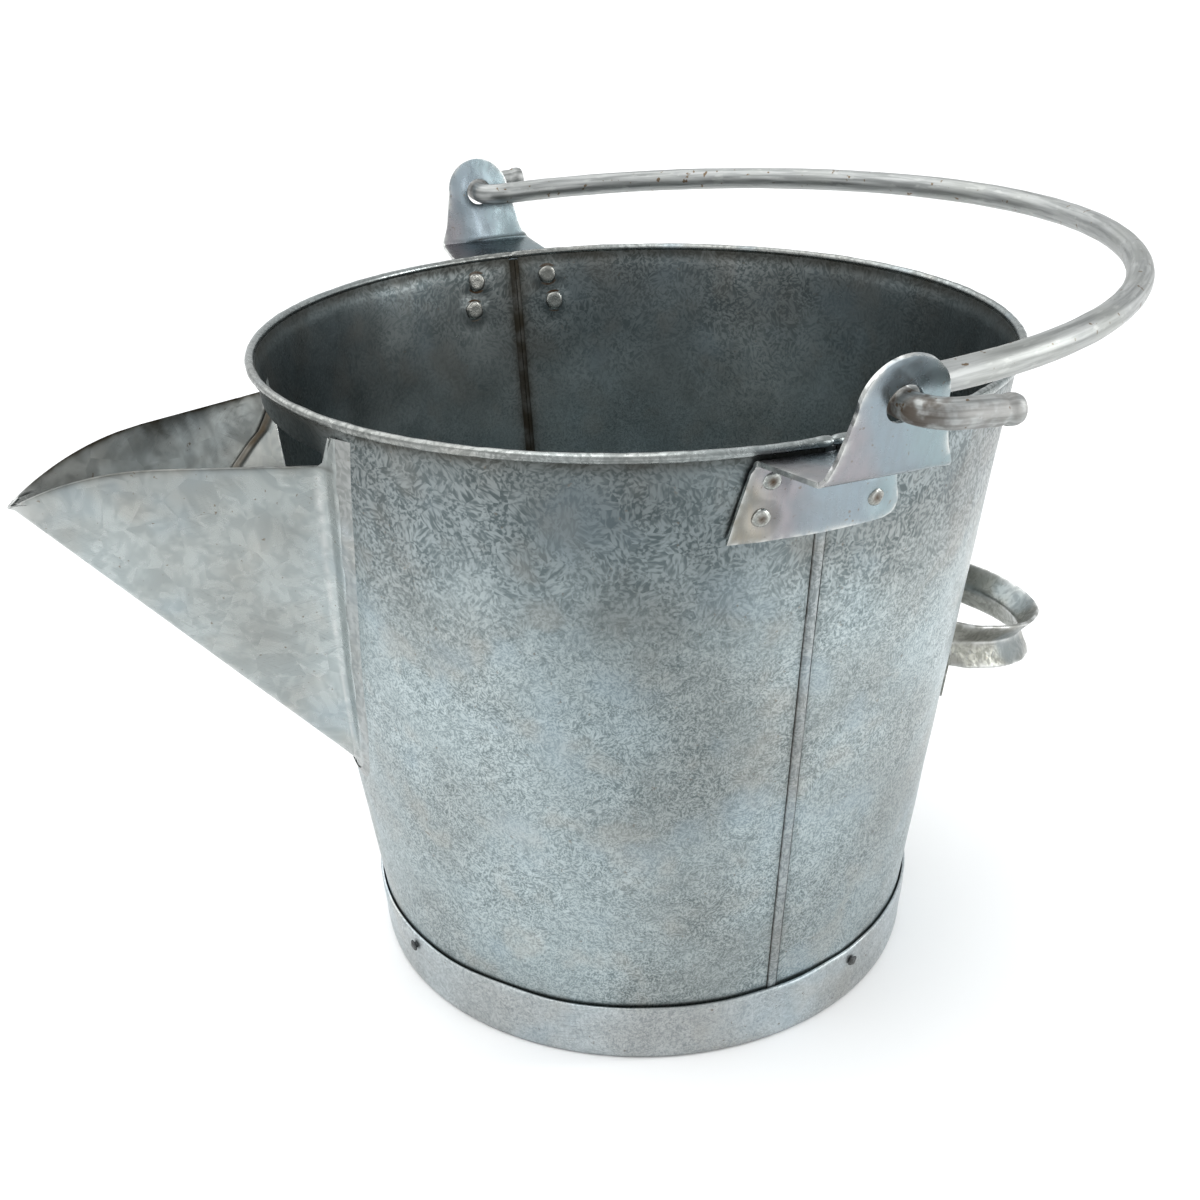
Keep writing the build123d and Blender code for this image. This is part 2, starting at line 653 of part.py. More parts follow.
os.makedirs("parts", exist_ok=True)
for node_name, node_shape in all_nodes().items():
    export_step(node_shape, f"parts/{node_name}.step")
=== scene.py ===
import math

import bmesh
import bpy
import numpy as np
from mathutils import Matrix, Vector


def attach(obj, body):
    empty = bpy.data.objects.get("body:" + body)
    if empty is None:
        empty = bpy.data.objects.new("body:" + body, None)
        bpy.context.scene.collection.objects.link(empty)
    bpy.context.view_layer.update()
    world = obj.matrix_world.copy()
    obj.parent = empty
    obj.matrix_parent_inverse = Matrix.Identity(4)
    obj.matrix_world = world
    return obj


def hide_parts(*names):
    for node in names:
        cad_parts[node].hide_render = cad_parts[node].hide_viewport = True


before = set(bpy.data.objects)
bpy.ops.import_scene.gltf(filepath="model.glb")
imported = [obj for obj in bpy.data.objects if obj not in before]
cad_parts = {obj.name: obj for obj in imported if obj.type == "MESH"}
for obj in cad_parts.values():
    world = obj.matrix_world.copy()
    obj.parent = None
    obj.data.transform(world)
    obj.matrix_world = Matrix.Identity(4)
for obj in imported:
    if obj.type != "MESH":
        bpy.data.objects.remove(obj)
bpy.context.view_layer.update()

# A galvanised pouring pail. Sizes are millimetres in the frame's own axes, and MM turns them
# into metres. Near is the photographer's side, -Y, and side is -1 there and 1 on the far side.
MM = 0.001

# Body, foot and bottom. Places up the body are heights above the floor.
PAIL_HEIGHT = 266.0
MOUTH_RADIUS = 150.0
BEAD_RADIUS = 1.8
SHEET = 1.0
WALL_TOP_RADIUS = 146.9
WALL_LOW_RADIUS = 117.6
WALL_BOTTOM = 8.0
FOOT_HEIGHT = 26.5
FOOT_TOP_RADIUS = 119.4
FOOT_BASE_RADIUS = 117.4
FOOT_SHEET = 1.2
FOOT_MIDDLE_RADIUS = 118
FOOT_LAP_ANGLE = math.radians(28)
FOOT_BULGE_ANGLE = math.radians(-84)
DECK_TOP = 25.0
SEAM_HALF = 2.3
RIVET_DIMPLE = 0.45

# Spout: a V round an upright fold line, its keel running back and down from the tip.
SPOUT_SHEET = 0.9
SPOUT_TIP_X = -239.0
SPOUT_TIP_Z = 232.4
KEEL_RUN_PER_RISE = 0.8513
KEEL_ROUND_AT_TIP = 4.0
KEEL_ROUND_GROWTH = 0.08
SPOUT_HALF_ANGLE = math.radians(22.4)
SPOUT_EDGE_Z = 245.4
SPOUT_CURVE_START_X = -188.0
SPOUT_CURVE_RADIUS = 96.0
FLANGE_WIDTH = 6.0
FLANGE_TOP = 258.5
FLANGE_FILLET = 1.4
FLANGE_FOOT_SHARE = 0.5
FLANGE_TOP_TRIM = 4.0
OPENING_TOP = 250.5
LEG_OUT = SPOUT_SHEET + FLANGE_FILLET
# Lines across the flange, as (distance from the fold, distance off the wall).
FLANGE_STEPS = (
    (0.5, 1.35), (1.2, 1.0), (2.2, SPOUT_SHEET), (4.0, SPOUT_SHEET),
    (FLANGE_WIDTH - 0.4, SPOUT_SHEET), (FLANGE_WIDTH, SPOUT_SHEET - 0.25),
)
TONGUE_SHEET = 0.9
TONGUE_LOW = 112
TONGUE_HIGH = 240.5
# The torn outer edge of the sheet turned into the spout, as (height, x).
TONGUE_OUTLINE = (
    (TONGUE_LOW, -125.5), (150, -141), (180, -153), (205, -163.5), (211, -166.5), (213.5, -165.5),
    (216, -162.3), (222, -157.0), (227, -150.0), (231.5, -143.5), (237, -140.0),
    (TONGUE_HIGH, -137.6),
)

# Bail. HOOKS has the length of each side's hook and how far it tips up.
PIVOT_Z = 288.0
ROD_RADIUS = 5.0
BAIL_HALF_WIDTH = 174.4
BAIL_REACH = 192.0
BAIL_APEX_RADIUS = 158.0
BAIL_ARM_START = 10.0
BAIL_REST_ANGLE = math.radians(1.5)
HOOK_BEND_RADIUS = 10.0
NECK_BEND_RADIUS = 8.5
HOOK_Y = 200.5
HOOKS = {-1: (30.0, math.radians(-6)), 1: (27.0, math.radians(5))}

# Ears. Rivets are (x, height) on the near side; heads are (inner, outer) radii.
EAR_SHEET = 1.7
EAR_STANDOFF = 1.4
EAR_PLATE_BOTTOM = 233.0
EAR_PLATE_HALF_BOTTOM = 31.5
EAR_PLATE_HALF_TOP = 24.5
EAR_PLATE_CORNER = 7.0
EAR_LOW_BEND = 2.4
EAR_TAB_BEND = 4.0
EAR_SHELF_TOP = 261.6
EAR_SHELF_RISE = 3.8
EAR_SHELF_HALF_WIDTH = 21.5
EAR_TAB_Y = 182.5
EAR_TAB_LEAN = math.radians(13.0)
EAR_TAB_HALF_BASE = 19.0
EAR_TAB_SHOULDER = 5.0
EAR_TAB_ROUND = 15.0
EAR_HOLE_RADIUS = 6.0
EAR_RIVETS = ((-18.0, 254.2), (18.0, 254.2), (-20.5, 241.5), (20.5, 241.5))
EAR_RIVET_SINK = 0.75
EAR_RIVET_HEADS = (4.4, 3.2)

# Tipping handle, with its rivets' distances along the wall from where the loop leaves it.
HANDLE_SHEET = 1.5
HANDLE_HALF_HEIGHT = 10.3
HANDLE_GROOVE_DEPTH = 6.8
HANDLE_LOOP_RADIUS = 46.3
HANDLE_REACH = 191.0
HANDLE_ROOT_X = 125.0
HANDLE_ROOT_Z = 120.0
HANDLE_TILT = math.radians(12.6)
HANDLE_FOOT_LENGTH = 26.0
HANDLE_FOOT_BEND = 2.6
HANDLE_RIVET_OFFSETS = (9.0, 19.0)
HANDLE_RIVET_HEADS = (4.2, 3.4)
RIVET_SHANK_RADIUS = 2.2
RIVET_GAP = 0.05

# Foot fastenings, in degrees round from +X.
NAIL_ANGLES = (-167.5, -67.5, 22.5, 112.5)
NAIL_Z = 20.0

WALL_TOP = PAIL_HEIGHT - 2 * BEAD_RADIUS + 0.1
WALL_SLOPE = (WALL_TOP_RADIUS - WALL_LOW_RADIUS) / (WALL_TOP - FOOT_HEIGHT)
WALL_LEAN = math.atan(WALL_SLOPE)
BEAD_Z = PAIL_HEIGHT - BEAD_RADIUS
BEAD_MIDDLE = MOUTH_RADIUS - BEAD_RADIUS


# ---- mathematics ----
def smoothstep(low, high, value):
    t = np.clip((np.asarray(value, float) - low) / (high - low), 0, 1)
    return t * t * (3 - 2 * t)


def bell(distance, width):
    return np.exp(-(distance / width) ** 2)


def fading(distance, reach):
    """1 up to distance 0, and less and less beyond it."""
    return np.exp(-np.maximum(distance, 0) / reach)


def xyz(x, y, z):
    return np.stack(np.broadcast_arrays(x, y, z), -1).astype(float)


def polar(radius, angle, z):
    return xyz(radius * np.cos(angle), radius * np.sin(angle), z)


def full_turn(count):
    return np.arange(count) * 2 * math.pi / count


def turned_away(angles, middle):
    """How far angles are from the middle one, from -pi to pi."""
    return np.angle(np.exp(1j * (angles - middle)))


def joined_rows(*stretches):
    """The places of several stretches (low, high, count), each one once."""
    return np.unique(np.concatenate([np.linspace(*stretch) for stretch in stretches]))


def ripple(points, size, seed, count=9):
    """A smooth random field over points, about -1 to 1, whose waves are about size long."""
    rng = np.random.default_rng(seed)
    directions = rng.normal(size=(count, 3))
    directions /= np.linalg.norm(directions, axis=1, keepdims=True)
    waves = 2 * math.pi / size * rng.uniform(0.6, 1.5, count)
    phases = rng.uniform(0, 2 * math.pi, count)
    points = np.asarray(points, float)
    return np.sin((points @ directions.T) * waves + phases).sum(-1) / math.sqrt(count)


def solve(test, low, high, steps=44):
    """The value between low and high where test turns from false to true, for arrays too."""
    low, high = np.asarray(low, float) + 0.0, np.asarray(high, float) + 0.0
    for _ in range(steps):
        middle = (low + high) / 2
        passed = test(middle)
        high = np.where(passed, middle, high)
        low = np.where(passed, low, middle)
    return (low + high) / 2


def bend_points(before, corner, after, radius, count):
    """Points round a rounded corner of a route, in two or three dimensions."""
    a = (before - corner) / np.linalg.norm(before - corner)
    b = (after - corner) / np.linalg.norm(after - corner)
    half = math.acos(float(np.clip(a @ b, -1, 1))) / 2
    trim = radius / math.tan(half)
    centre = corner + (a + b) / np.linalg.norm(a + b) * (radius / math.sin(half))
    start, end = corner + a * trim - centre, corner + b * trim - centre
    sweep = math.pi - 2 * half
    t = np.linspace(0, 1, count)[:, None]
    return centre + (start * np.sin((1 - t) * sweep) + end * np.sin(t * sweep)) / math.sin(sweep)


# ---- meshes ----
def new_object(name, data):
    made = bpy.data.objects.new(name, data)
    bpy.context.scene.collection.objects.link(made)
    return made


def build(name, vertices, faces, attributes=None):
    """An object from millimetre vertices, with its doubled and stray vertices removed."""
    mesh = bpy.data.meshes.new(name)
    mesh.from_pydata([tuple(v) for v in np.asarray(vertices, float) * MM], [], faces)
    for key, values in (attributes or {}).items():
        layer = mesh.attributes.new(key, "FLOAT", "POINT")
        layer.data.foreach_set("value", np.asarray(values, np.float32))
    mesh.validate()
    made = new_object(name, mesh)
    weld(made)
    return made


def weld(made, distance=0.00001):
    """Joins vertices that share a place, and drops collapsed faces and stray vertices."""
    edit = bmesh.new()
    edit.from_mesh(made.data)
    bmesh.ops.remove_doubles(edit, verts=edit.verts, dist=distance)
    bmesh.ops.dissolve_degenerate(edit, edges=edit.edges, dist=distance / 10)
    loose = [v for v in edit.verts if not v.link_faces]
    bmesh.ops.delete(edit, geom=loose, context="VERTS")
    edit.to_mesh(made.data)
    edit.free()


def grid_faces(rows, columns, close_rows=False, close_columns=False, keep=None):
    faces = []
    for i in range(rows if close_rows else rows - 1):
        for j in range(columns if close_columns else columns - 1):
            if keep is not None and not keep[i, j]:
                continue
            a, b = i * columns, ((i + 1) % rows) * columns
            k = (j + 1) % columns
            faces.append((a + j, a + k, b + k, b + j))
    return faces


def grid_object(name, grid, keep=None, attributes=None, close_rows=False, close_columns=False):
    """An object from rows of points; keep says which of the faces between them are made."""
    shape = grid.shape[:2]
    faces = grid_faces(*shape, close_rows, close_columns, keep)
    flat = {key: np.broadcast_to(v, shape).reshape(-1) for key, v in (attributes or {}).items()}
    return build(name, grid.reshape(-1, 3), faces, flat)


def spun(profile, angles):
    """The points that a profile of (radius, height) passes as it turns about Z."""
    profile = np.asarray(profile, float)
    return polar(profile[None, :, 0], angles[:, None], profile[None, :, 1])


def tube_object(name, grid, attributes=None):
    """A closed bar from rings of points, with a fan over each end."""
    rows, columns = grid.shape[:2]
    faces = grid_faces(rows, columns, close_columns=True)
    vertices = np.vstack([grid.reshape(-1, 3), grid[0].mean(0), grid[-1].mean(0)])
    first, last = rows * columns, rows * columns + 1
    for j in range(columns):
        k = (j + 1) % columns
        faces.append((first, k, j))
        faces.append((last, (rows - 1) * columns + j, (rows - 1) * columns + k))
    flat = {}
    for key, values in (attributes or {}).items():
        spread = np.broadcast_to(values, (rows, columns)).reshape(-1)
        flat[key] = np.append(spread, [spread[0], spread[-1]])
    made = build(name, vertices, faces, flat)
    outward(made)
    return made


def turned_object(name, profile, steps, move=None, closed=True):
    """A profile of (radius, height) turned about Z; move changes the points it is given."""
    angles = full_turn(steps)
    grid = spun(profile, angles)
    if move is not None:
        grid = move(grid, angles)
    made = grid_object(name, grid, close_rows=True, close_columns=closed)
    outward(made)
    return made


def outward(made):
    """Turns a closed piece's faces to look out of it."""
    edit = bmesh.new()
    edit.from_mesh(made.data)
    bmesh.ops.recalc_face_normals(edit, faces=edit.faces)
    edit.to_mesh(made.data)
    edit.free()


def face_away(made, centre):
    """Turns an open sheet's faces so that most look away from centre, in millimetres."""
    middle = Vector(centre) * MM
    total = sum(p.normal.dot(p.center - middle) * p.area for p in made.data.polygons)
    if total < 0:
        made.data.flip_normals()


def applied(made):
    """Makes the modifiers' result the mesh itself."""
    graph = bpy.context.evaluated_depsgraph_get()
    mesh = bpy.data.meshes.new_from_object(made.evaluated_get(graph))
    made.modifiers.clear()
    made.data = mesh


def thicken(made, thickness, offset=-1.0, even=True):
    """Gives a sheet its thickness: behind its faces, or with offset 0 on both sides."""
    solid = made.modifiers.new("thickness", "SOLIDIFY")
    solid.thickness = thickness * MM
    solid.offset = offset
    solid.use_even_offset = even
    solid.use_quality_normals = True
    applied(made)


def soften(made, width, segments=2, angle=40):
    """Rounds the sharp edges a little, then shades smooth except over sharp edges."""
    if width:
        bevel = made.modifiers.new("edges", "BEVEL")
        bevel.width = width * MM
        bevel.segments = segments
        bevel.limit_method = "ANGLE"
        bevel.angle_limit = math.radians(angle)
        bevel.harden_normals = False
        applied(made)
    made.data.polygons.foreach_set("use_smooth", [True] * len(made.data.polygons))
    made.data.set_sharp_from_angle(angle=math.radians(angle))


def finish(made, material, body, slot, *nodes):
    """Hands a piece over: its material and body, and the CAD nodes that it replaces; slot is not
    used.
    """
    made.data.materials.clear()
    made.data.materials.append(material)
    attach(made, body)
    if nodes:
        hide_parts(*nodes)
    return made


# ---- the pail's own shapes ----
def wall_radius(z):
    return WALL_LOW_RADIUS + WALL_SLOPE * (z - FOOT_HEIGHT)


def foot_radius(z):
    return FOOT_BASE_RADIUS + (FOOT_TOP_RADIUS - FOOT_BASE_RADIUS) * z / FOOT_HEIGHT


def wall_point(angle, z, out=0.0):
    """A point out millimetres outside the wall's outer face, which is slightly wavy."""
    angle, z = np.broadcast_arrays(np.asarray(angle, float), np.asarray(z, float))
    ring = polar(130, angle, z)
    calm = smoothstep(FOOT_HEIGHT, 60, z) * (1 - smoothstep(225, 255, z))
    wave = 0.28 * ripple(ring, 95, 5) + 0.07 * ripple(ring, 34, 6)
    neck = 0.35 * smoothstep(256, 261.5, z)
    return polar(wall_radius(z) + out + wave * calm + neck, angle, z)


def wall_frame(angle, z):
    """A matrix in millimetres on the wall's outer face: Z straight out of it, Y up along it."""
    level = Vector((math.cos(angle), math.sin(angle), 0)) * math.cos(WALL_LEAN)
    out = level - Vector((0, 0, math.sin(WALL_LEAN)))
    across = Vector((-math.sin(angle), math.cos(angle), 0))
    turn = Matrix((across, out.cross(across), out)).transposed()
    return Matrix.Translation(Vector(wall_point(angle, z))) @ turn.to_4x4()


def seam_x(side, z):
    """Where the side seam's middle runs; the near one was folded a little out of line."""
    return 2.0 + (1.9 * (1 - np.asarray(z, float) / PAIL_HEIGHT) if side < 0 else 0.0)


def keel_x(z):
    return SPOUT_TIP_X + (SPOUT_TIP_Z - z) * KEEL_RUN_PER_RISE


def keel_round(z):
    return KEEL_ROUND_AT_TIP + (SPOUT_TIP_Z - z) * KEEL_ROUND_GROWTH


def vee_round(z, grow):
    return np.maximum(keel_round(z) + grow, 0.4)


def vee_arc(z, grow):
    return vee_round(z, grow) * (math.pi / 2 - SPOUT_HALF_ANGLE)


def vee_point(z, grow, along):
    """(x, y) on the V's section at height z, along millimetres from its keel, on the +Y side."""
    radius = vee_round(z, grow)
    centre = keel_x(z) + keel_round(z)
    arc = vee_arc(z, grow)
    turn = np.minimum(along, arc) / radius
    leg = np.maximum(along - arc, 0)
    x = centre - radius * np.cos(turn) + leg * math.cos(SPOUT_HALF_ANGLE)
    y = radius * np.sin(turn) + leg * math.sin(SPOUT_HALF_ANGLE)
    return x, y


def vee_lowest(grow, out):
    """The height at which the grown V's keel meets the wall grown by out."""
    total = SPOUT_TIP_X + SPOUT_TIP_Z * KEEL_RUN_PER_RISE - grow
    total += WALL_LOW_RADIUS - WALL_SLOPE * FOOT_HEIGHT + out
    return total / (KEEL_RUN_PER_RISE - WALL_SLOPE)


def along_to_wall(z, grow, out):
    def inside(along):
        x, y = vee_point(z, grow, along)
        return x * x + y * y < (wall_radius(z) + out) ** 2
    return solve(inside, np.zeros_like(z), np.full_like(z, 170.0))


def cut_height(x):
    """The height of the spout's top edge: level from the wall, then an arc down to the tip."""
    run = np.clip(SPOUT_CURVE_START_X - x, 0, 60)
    return SPOUT_EDGE_Z - SPOUT_CURVE_RADIUS + np.sqrt(SPOUT_CURVE_RADIUS ** 2 - run ** 2)


def ear_rivet_angle(side, x, z):
    return side * (math.pi / 2 - math.asin(x / wall_radius(z)))


def handle_rivet_angle(side, offset):
    radius = wall_radius(HANDLE_ROOT_Z)
    return side * (math.asin(HANDLE_LOOP_RADIUS / radius) + offset / radius)


# ---- body panels ----
def rivet_dimples(points):
    """How far the wall is pressed in, for points on it, where the rivets were hammered."""
    push = np.zeros(points.shape[:2])
    for side in (-1, 1):
        for x, z in EAR_RIVETS:
            middle = wall_point(ear_rivet_angle(side, x, z), z)
            away = np.linalg.norm(points - middle, axis=-1)
            push += RIVET_DIMPLE * (bell(away, 5.5) - 0.4 * bell(away - 8.5, 2.2))
    return push


def panel_rows():
    """The heights of the panels' rows, and the lowest point of the opening."""
    low = float(vee_lowest(-1.85, 0))
    rows = joined_rows(
        (WALL_BOTTOM, low, 40), (low, low + 12, 12), (low + 12, OPENING_TOP, 64),
        (OPENING_TOP, WALL_TOP + 0.6, 12))
    return np.unique(rows.round(6)), round(low, 6)


def wall_panel(name, rows, angles, keep=None):
    """One body panel: a sheet on the wall, with painted shade just under the rim and stains beside
    the seams.
    """
    grid = wall_point(angles, rows[:, None])
    grid = grid - polar(1, angles, 0) * rivet_dimples(grid)[..., None]
    # Painted shade: the band of wall just under the rim is darkened.
    stain_and_shade = 0.9 * bell(WALL_TOP - rows[:, None], 3.6)
    for side, depth, spread in ((1, 1.3, 2.6), (-1, 0.35, 1.2)):
        away = np.abs(grid[..., 0] - seam_x(side, grid[..., 2])) - SEAM_HALF
        beside = depth * fading(away, spread) * (side * grid[..., 1] > 0)
        stain_and_shade = np.minimum(np.maximum(stain_and_shade, beside), 1.0)
    made = grid_object(name, grid, keep=keep, attributes={"stain_and_shade": stain_and_shade})
    face_away(made, (0, 0, 130))
    thicken(made, SHEET)
    soften(made, 0)
    return made


def seam_angles(side, edge, rows):
    """The angle at each height of a line edge millimetres from the seam's middle along X."""
    return side * np.arccos((seam_x(side, rows) + edge) / wall_radius(rows))


def front_panel(side_columns=108, gap_columns=11):
    """The spout half, with the V opening left out between its two sides."""
    rows, low = panel_rows()
    near = 2 * math.pi + seam_angles(-1, -SEAM_HALF, rows)
    far = seam_angles(1, -SEAM_HALF, rows)
    grow = -SPOUT_SHEET - 0.95
    x, y = vee_point(rows, grow, along_to_wall(rows, grow, -SHEET / 2))
    half = np.maximum(np.where(rows > low, np.arctan2(y, -x), 0), 0.004)
    half[rows > OPENING_TOP + 0.01] = half[np.argmin(np.abs(rows - OPENING_TOP))]
    side = np.linspace(0, 1, side_columns)
    middle = np.linspace(-1, 1, gap_columns + 2)[1:-1]
    angles = np.concatenate([
        far[:, None] + (math.pi - half - far)[:, None] * side,
        math.pi + half[:, None] * middle,
        (math.pi + half)[:, None] + (near - math.pi - half)[:, None] * side,
    ], 1)
    keep = np.ones(angles.shape, bool)
    opened = (rows > low - 0.01) & (rows < OPENING_TOP - 0.01)
    keep[np.ix_(opened, range(side_columns - 1, side_columns + gap_columns))] = False
    return wall_panel("body_front_sheet", rows, angles, keep)


def rear_panel():
    rows, _ = panel_rows()
    near, far = seam_angles(-1, SEAM_HALF, rows), seam_angles(1, SEAM_HALF, rows)
    angles = near[:, None] + (far - near)[:, None] * np.linspace(0, 1, 210)
    return wall_panel("body_rear_sheet", rows, angles)


def seam_strip(name, side):
    """A grooved fold: a raised strip between two pressed lines, and a lower ridge inside."""
    rows = np.linspace(WALL_BOTTOM, WALL_TOP - 0.2, 130)
    section = (
        (-2.3, -0.55), (-2.1, -0.15), (-1.75, 0.75), (-1.25, 1.05), (0.0, 1.1), (1.2, 1.0),
        (1.7, 0.55), (1.85, 0.05), (2.3, -0.5), (2.3, -0.8), (1.6, -1.35), (0.4, -1.4),
        (0.2, -1.05), (0.0, -1.4), (-1.4, -1.35), (-2.3, -0.8),
    )
    flat = 1 - smoothstep(FOOT_HEIGHT - 1, FOOT_HEIGHT + 2, rows)
    flat = flat + 0.35 * smoothstep(250, 258, rows)
    lines = []
    for j, (offset, height) in enumerate(section):
        sway = 0.12 * ripple(xyz(0, j * 2.0, rows), 38, 11) * (height > 0.3)
        raised = height * (1 - np.clip(flat, 0, 1)) if height > 0 else height
        lines.append(wall_point(seam_angles(side, offset, rows), rows, raised + sway))
    crease = np.array([1.0 if height < 0.2 else 0.12 for _, height in section])
    made = tube_object(name, np.stack(lines, 1), {"stain_and_shade": crease})
    soften(made, 0, angle=50)
    return made


# ---- rim ----
def rim_roll():
    """The sheet rolled outwards over the rim wire, with its joints over the side seams."""
    turns = full_turn(18)
    profile = np.stack([
        BEAD_MIDDLE + BEAD_RADIUS * np.cos(turns),
        BEAD_Z + BEAD_RADIUS * np.sin(turns),
    ], 1)

    def move(grid, angles):
        centre = polar(BEAD_MIDDLE, angles, BEAD_Z)
        swell = 0.04 * ripple(centre, 21, 21) + 0.03 * ripple(centre, 7, 22)
        for side in (-1, 1):
            middle = side * math.acos(seam_x(side, PAIL_HEIGHT) / BEAD_MIDDLE)
            away = turned_away(angles, middle) * BEAD_MIDDLE
            swell += 0.10 * bell(away + 3.5, 2.6) - 0.30 * bell(away, 0.55)
        scale = 0.955 + np.minimum(swell, 0.14)
        return centre[:, None, :] + (grid - centre[:, None, :]) * scale[:, None, None]

    made = turned_object("rim_roll", profile, 1080, move)
    soften(made, 0)
    return made


# ---- foot and bottom ----
def foot_band():
    """The foot band: hemmed along its base, lapped at the back, a hair off the wall on top."""
    top, base, sheet = FOOT_TOP_RADIUS, FOOT_BASE_RADIUS, FOOT_SHEET
    profile = [
        (base - 2 * sheet, 1.4), (base - 2 * sheet + 0.4, 0.3), (base - sheet, 0.0),
        (base - 0.5, 0.25), (base, 1.2),
        *((foot_radius(z) + proud, z) for z, proud in (
            (3.5, 0.25), (6.2, 0.25), (7.6, 0), (12, 0), (17, 0), (22, 0), (25, 0))),
        (top - 0.05, FOOT_HEIGHT - 0.35), (top - 0.35, FOOT_HEIGHT),
        (top - sheet + 0.2, FOOT_HEIGHT), (top - sheet, FOOT_HEIGHT - 0.4),
        (foot_radius(16) - sheet, 16), (foot_radius(8) - sheet, 8),
        (foot_radius(7) - sheet, 6.9), (foot_radius(6) - 2 * sheet, 5.8),
    ]

    def move(grid, angles):
        height = grid[..., 2]
        ring = polar(120, angles, 0)
        lift = 0.30 * ripple(ring, 60, 31) + 0.12 * ripple(ring, 21, 32)
        lift = lift[:, None] * smoothstep(14, 26, height)
        between = smoothstep(2, 8, height) * (1 - smoothstep(22, 26, height))
        dent = 0.22 * ripple(grid, 26, 33) * between
        near_lift = bell(turned_away(angles, FOOT_BULGE_ANGLE) * FOOT_MIDDLE_RADIUS, 14)[:, None]
        bulge = 0.5 * near_lift * bell(height - 24, 5)
        lap = np.mod(angles - FOOT_LAP_ANGLE, 2 * math.pi) * FOOT_MIDDLE_RADIUS
        step = (0.75 * fading(lap - 9, 0.25) * smoothstep(0.0, 0.35, lap))[:, None]
        step = step * smoothstep(0.5, 2.5, height)
        radius = np.hypot(grid[..., 0], grid[..., 1])
        grid[..., :2] *= ((radius + dent + bulge + step) / radius)[..., None]
        grid[..., 2] += lift * (height > 20) + 0.35 * near_lift * smoothstep(18, 26, height)
        return grid

    made = turned_object("foot_band", profile, 900, move)
    soften(made, 0, angle=50)
    return made


def bottom_plate():
    """The recessed bottom: two pressed rings, a flange and the fold round the wall's edge."""
    under = DECK_TOP - SHEET
    inset = -SHEET - 0.05
    inner = wall_radius(8) + inset
    fold = -FOOT_SHEET - 0.1
    rim = wall_radius(DECK_TOP) + inset
    pressing = (
        (0, 0.9), (30, 0.8), (52, 0.5), (56, 0.0), (60, 0.0), (66, 0.55), (84, 0.5), (88, 0.1),
        (92, 0.1), (98, 0.45), (106, 0.2), (110, 0.0),
    )
    profile = [(radius, under - depth) for radius, depth in pressing]
    profile += [
        (rim - 2.2, under - 0.1), (rim - 1.2, under - 1.0), (inner - SHEET, 9.0),
        (inner - SHEET, 6.6), (wall_radius(6) + inset - 0.4, 6.05),
        (foot_radius(6) + fold - 0.4, 6.05), (foot_radius(7) + fold, 6.6),
        (foot_radius(14.6) + fold, 14.6), (foot_radius(15) + fold - 0.3, 15.0),
        (wall_radius(15) + 0.12, 14.8), (wall_radius(8) + 0.12, 7.75), (inner, 7.75),
        (wall_radius(20) + inset, 20.0), (rim - 0.2, DECK_TOP - 1.0), (rim - 1.2, DECK_TOP - 0.1),
    ]
    profile += [(radius, DECK_TOP - depth) for radius, depth in reversed(pressing)]
    made = turned_object("bottom_plate", profile, 180, closed=False)
    soften(made, 0, angle=50)
    return made


# ---- spout ----
def spout_rows():
    """Heights on the fold line, from the keel's foot past the tip's height to the flange's top."""
    start = float(vee_lowest(0, LEG_OUT)) + 0.03

    def above(z):
        return cut_height(vee_point(z, 0, vee_arc(z, 0))[0]) < z
    tip = float(solve(above, 225.0, 240.0))
    low = start + (tip - start) * np.linspace(0, 1, 84) ** 1.4
    high = np.linspace(tip, SPOUT_EDGE_Z, 30)[1:]
    top = np.linspace(SPOUT_EDGE_Z, FLANGE_TOP, 7)[1:]
    return np.concatenate([low, high, top]), tip


def leg_bulge(points, share):
    """Slight unevenness of the flat spout sides, none along the keel, the fold or the top edge."""
    calm = smoothstep(0.02, 0.25, share) * (1 - smoothstep(0.8, 0.98, share))
    return calm * (0.45 * ripple(points, 70, 41) + 0.12 * ripple(points, 24, 42))


def flange_line(side, rows, grow, out):
    """One line down the flange, grow millimetres outside the fold and out outside the wall."""
    rise = (rows - rows[0]) / (rows[-1] - rows[0])
    lowest = float(vee_lowest(grow * FLANGE_FOOT_SHARE, max(out, 0))) + 0.03
    height = lowest + rise * (FLANGE_TOP - lowest)
    wide = grow * (FLANGE_FOOT_SHARE + (1 - FLANGE_FOOT_SHARE) * smoothstep(0, 0.22, rise))
    trim = np.clip((rows - SPOUT_EDGE_Z) / (FLANGE_TOP - SPOUT_EDGE_Z), 0, 1)
    wide = wide + FLANGE_TOP_TRIM * trim * np.clip(1 - grow / FLANGE_WIDTH, 0, 1)
    x, y = vee_point(height, wide, along_to_wall(height, wide, out))
    return wall_point(np.arctan2(side * y, x), height, out)


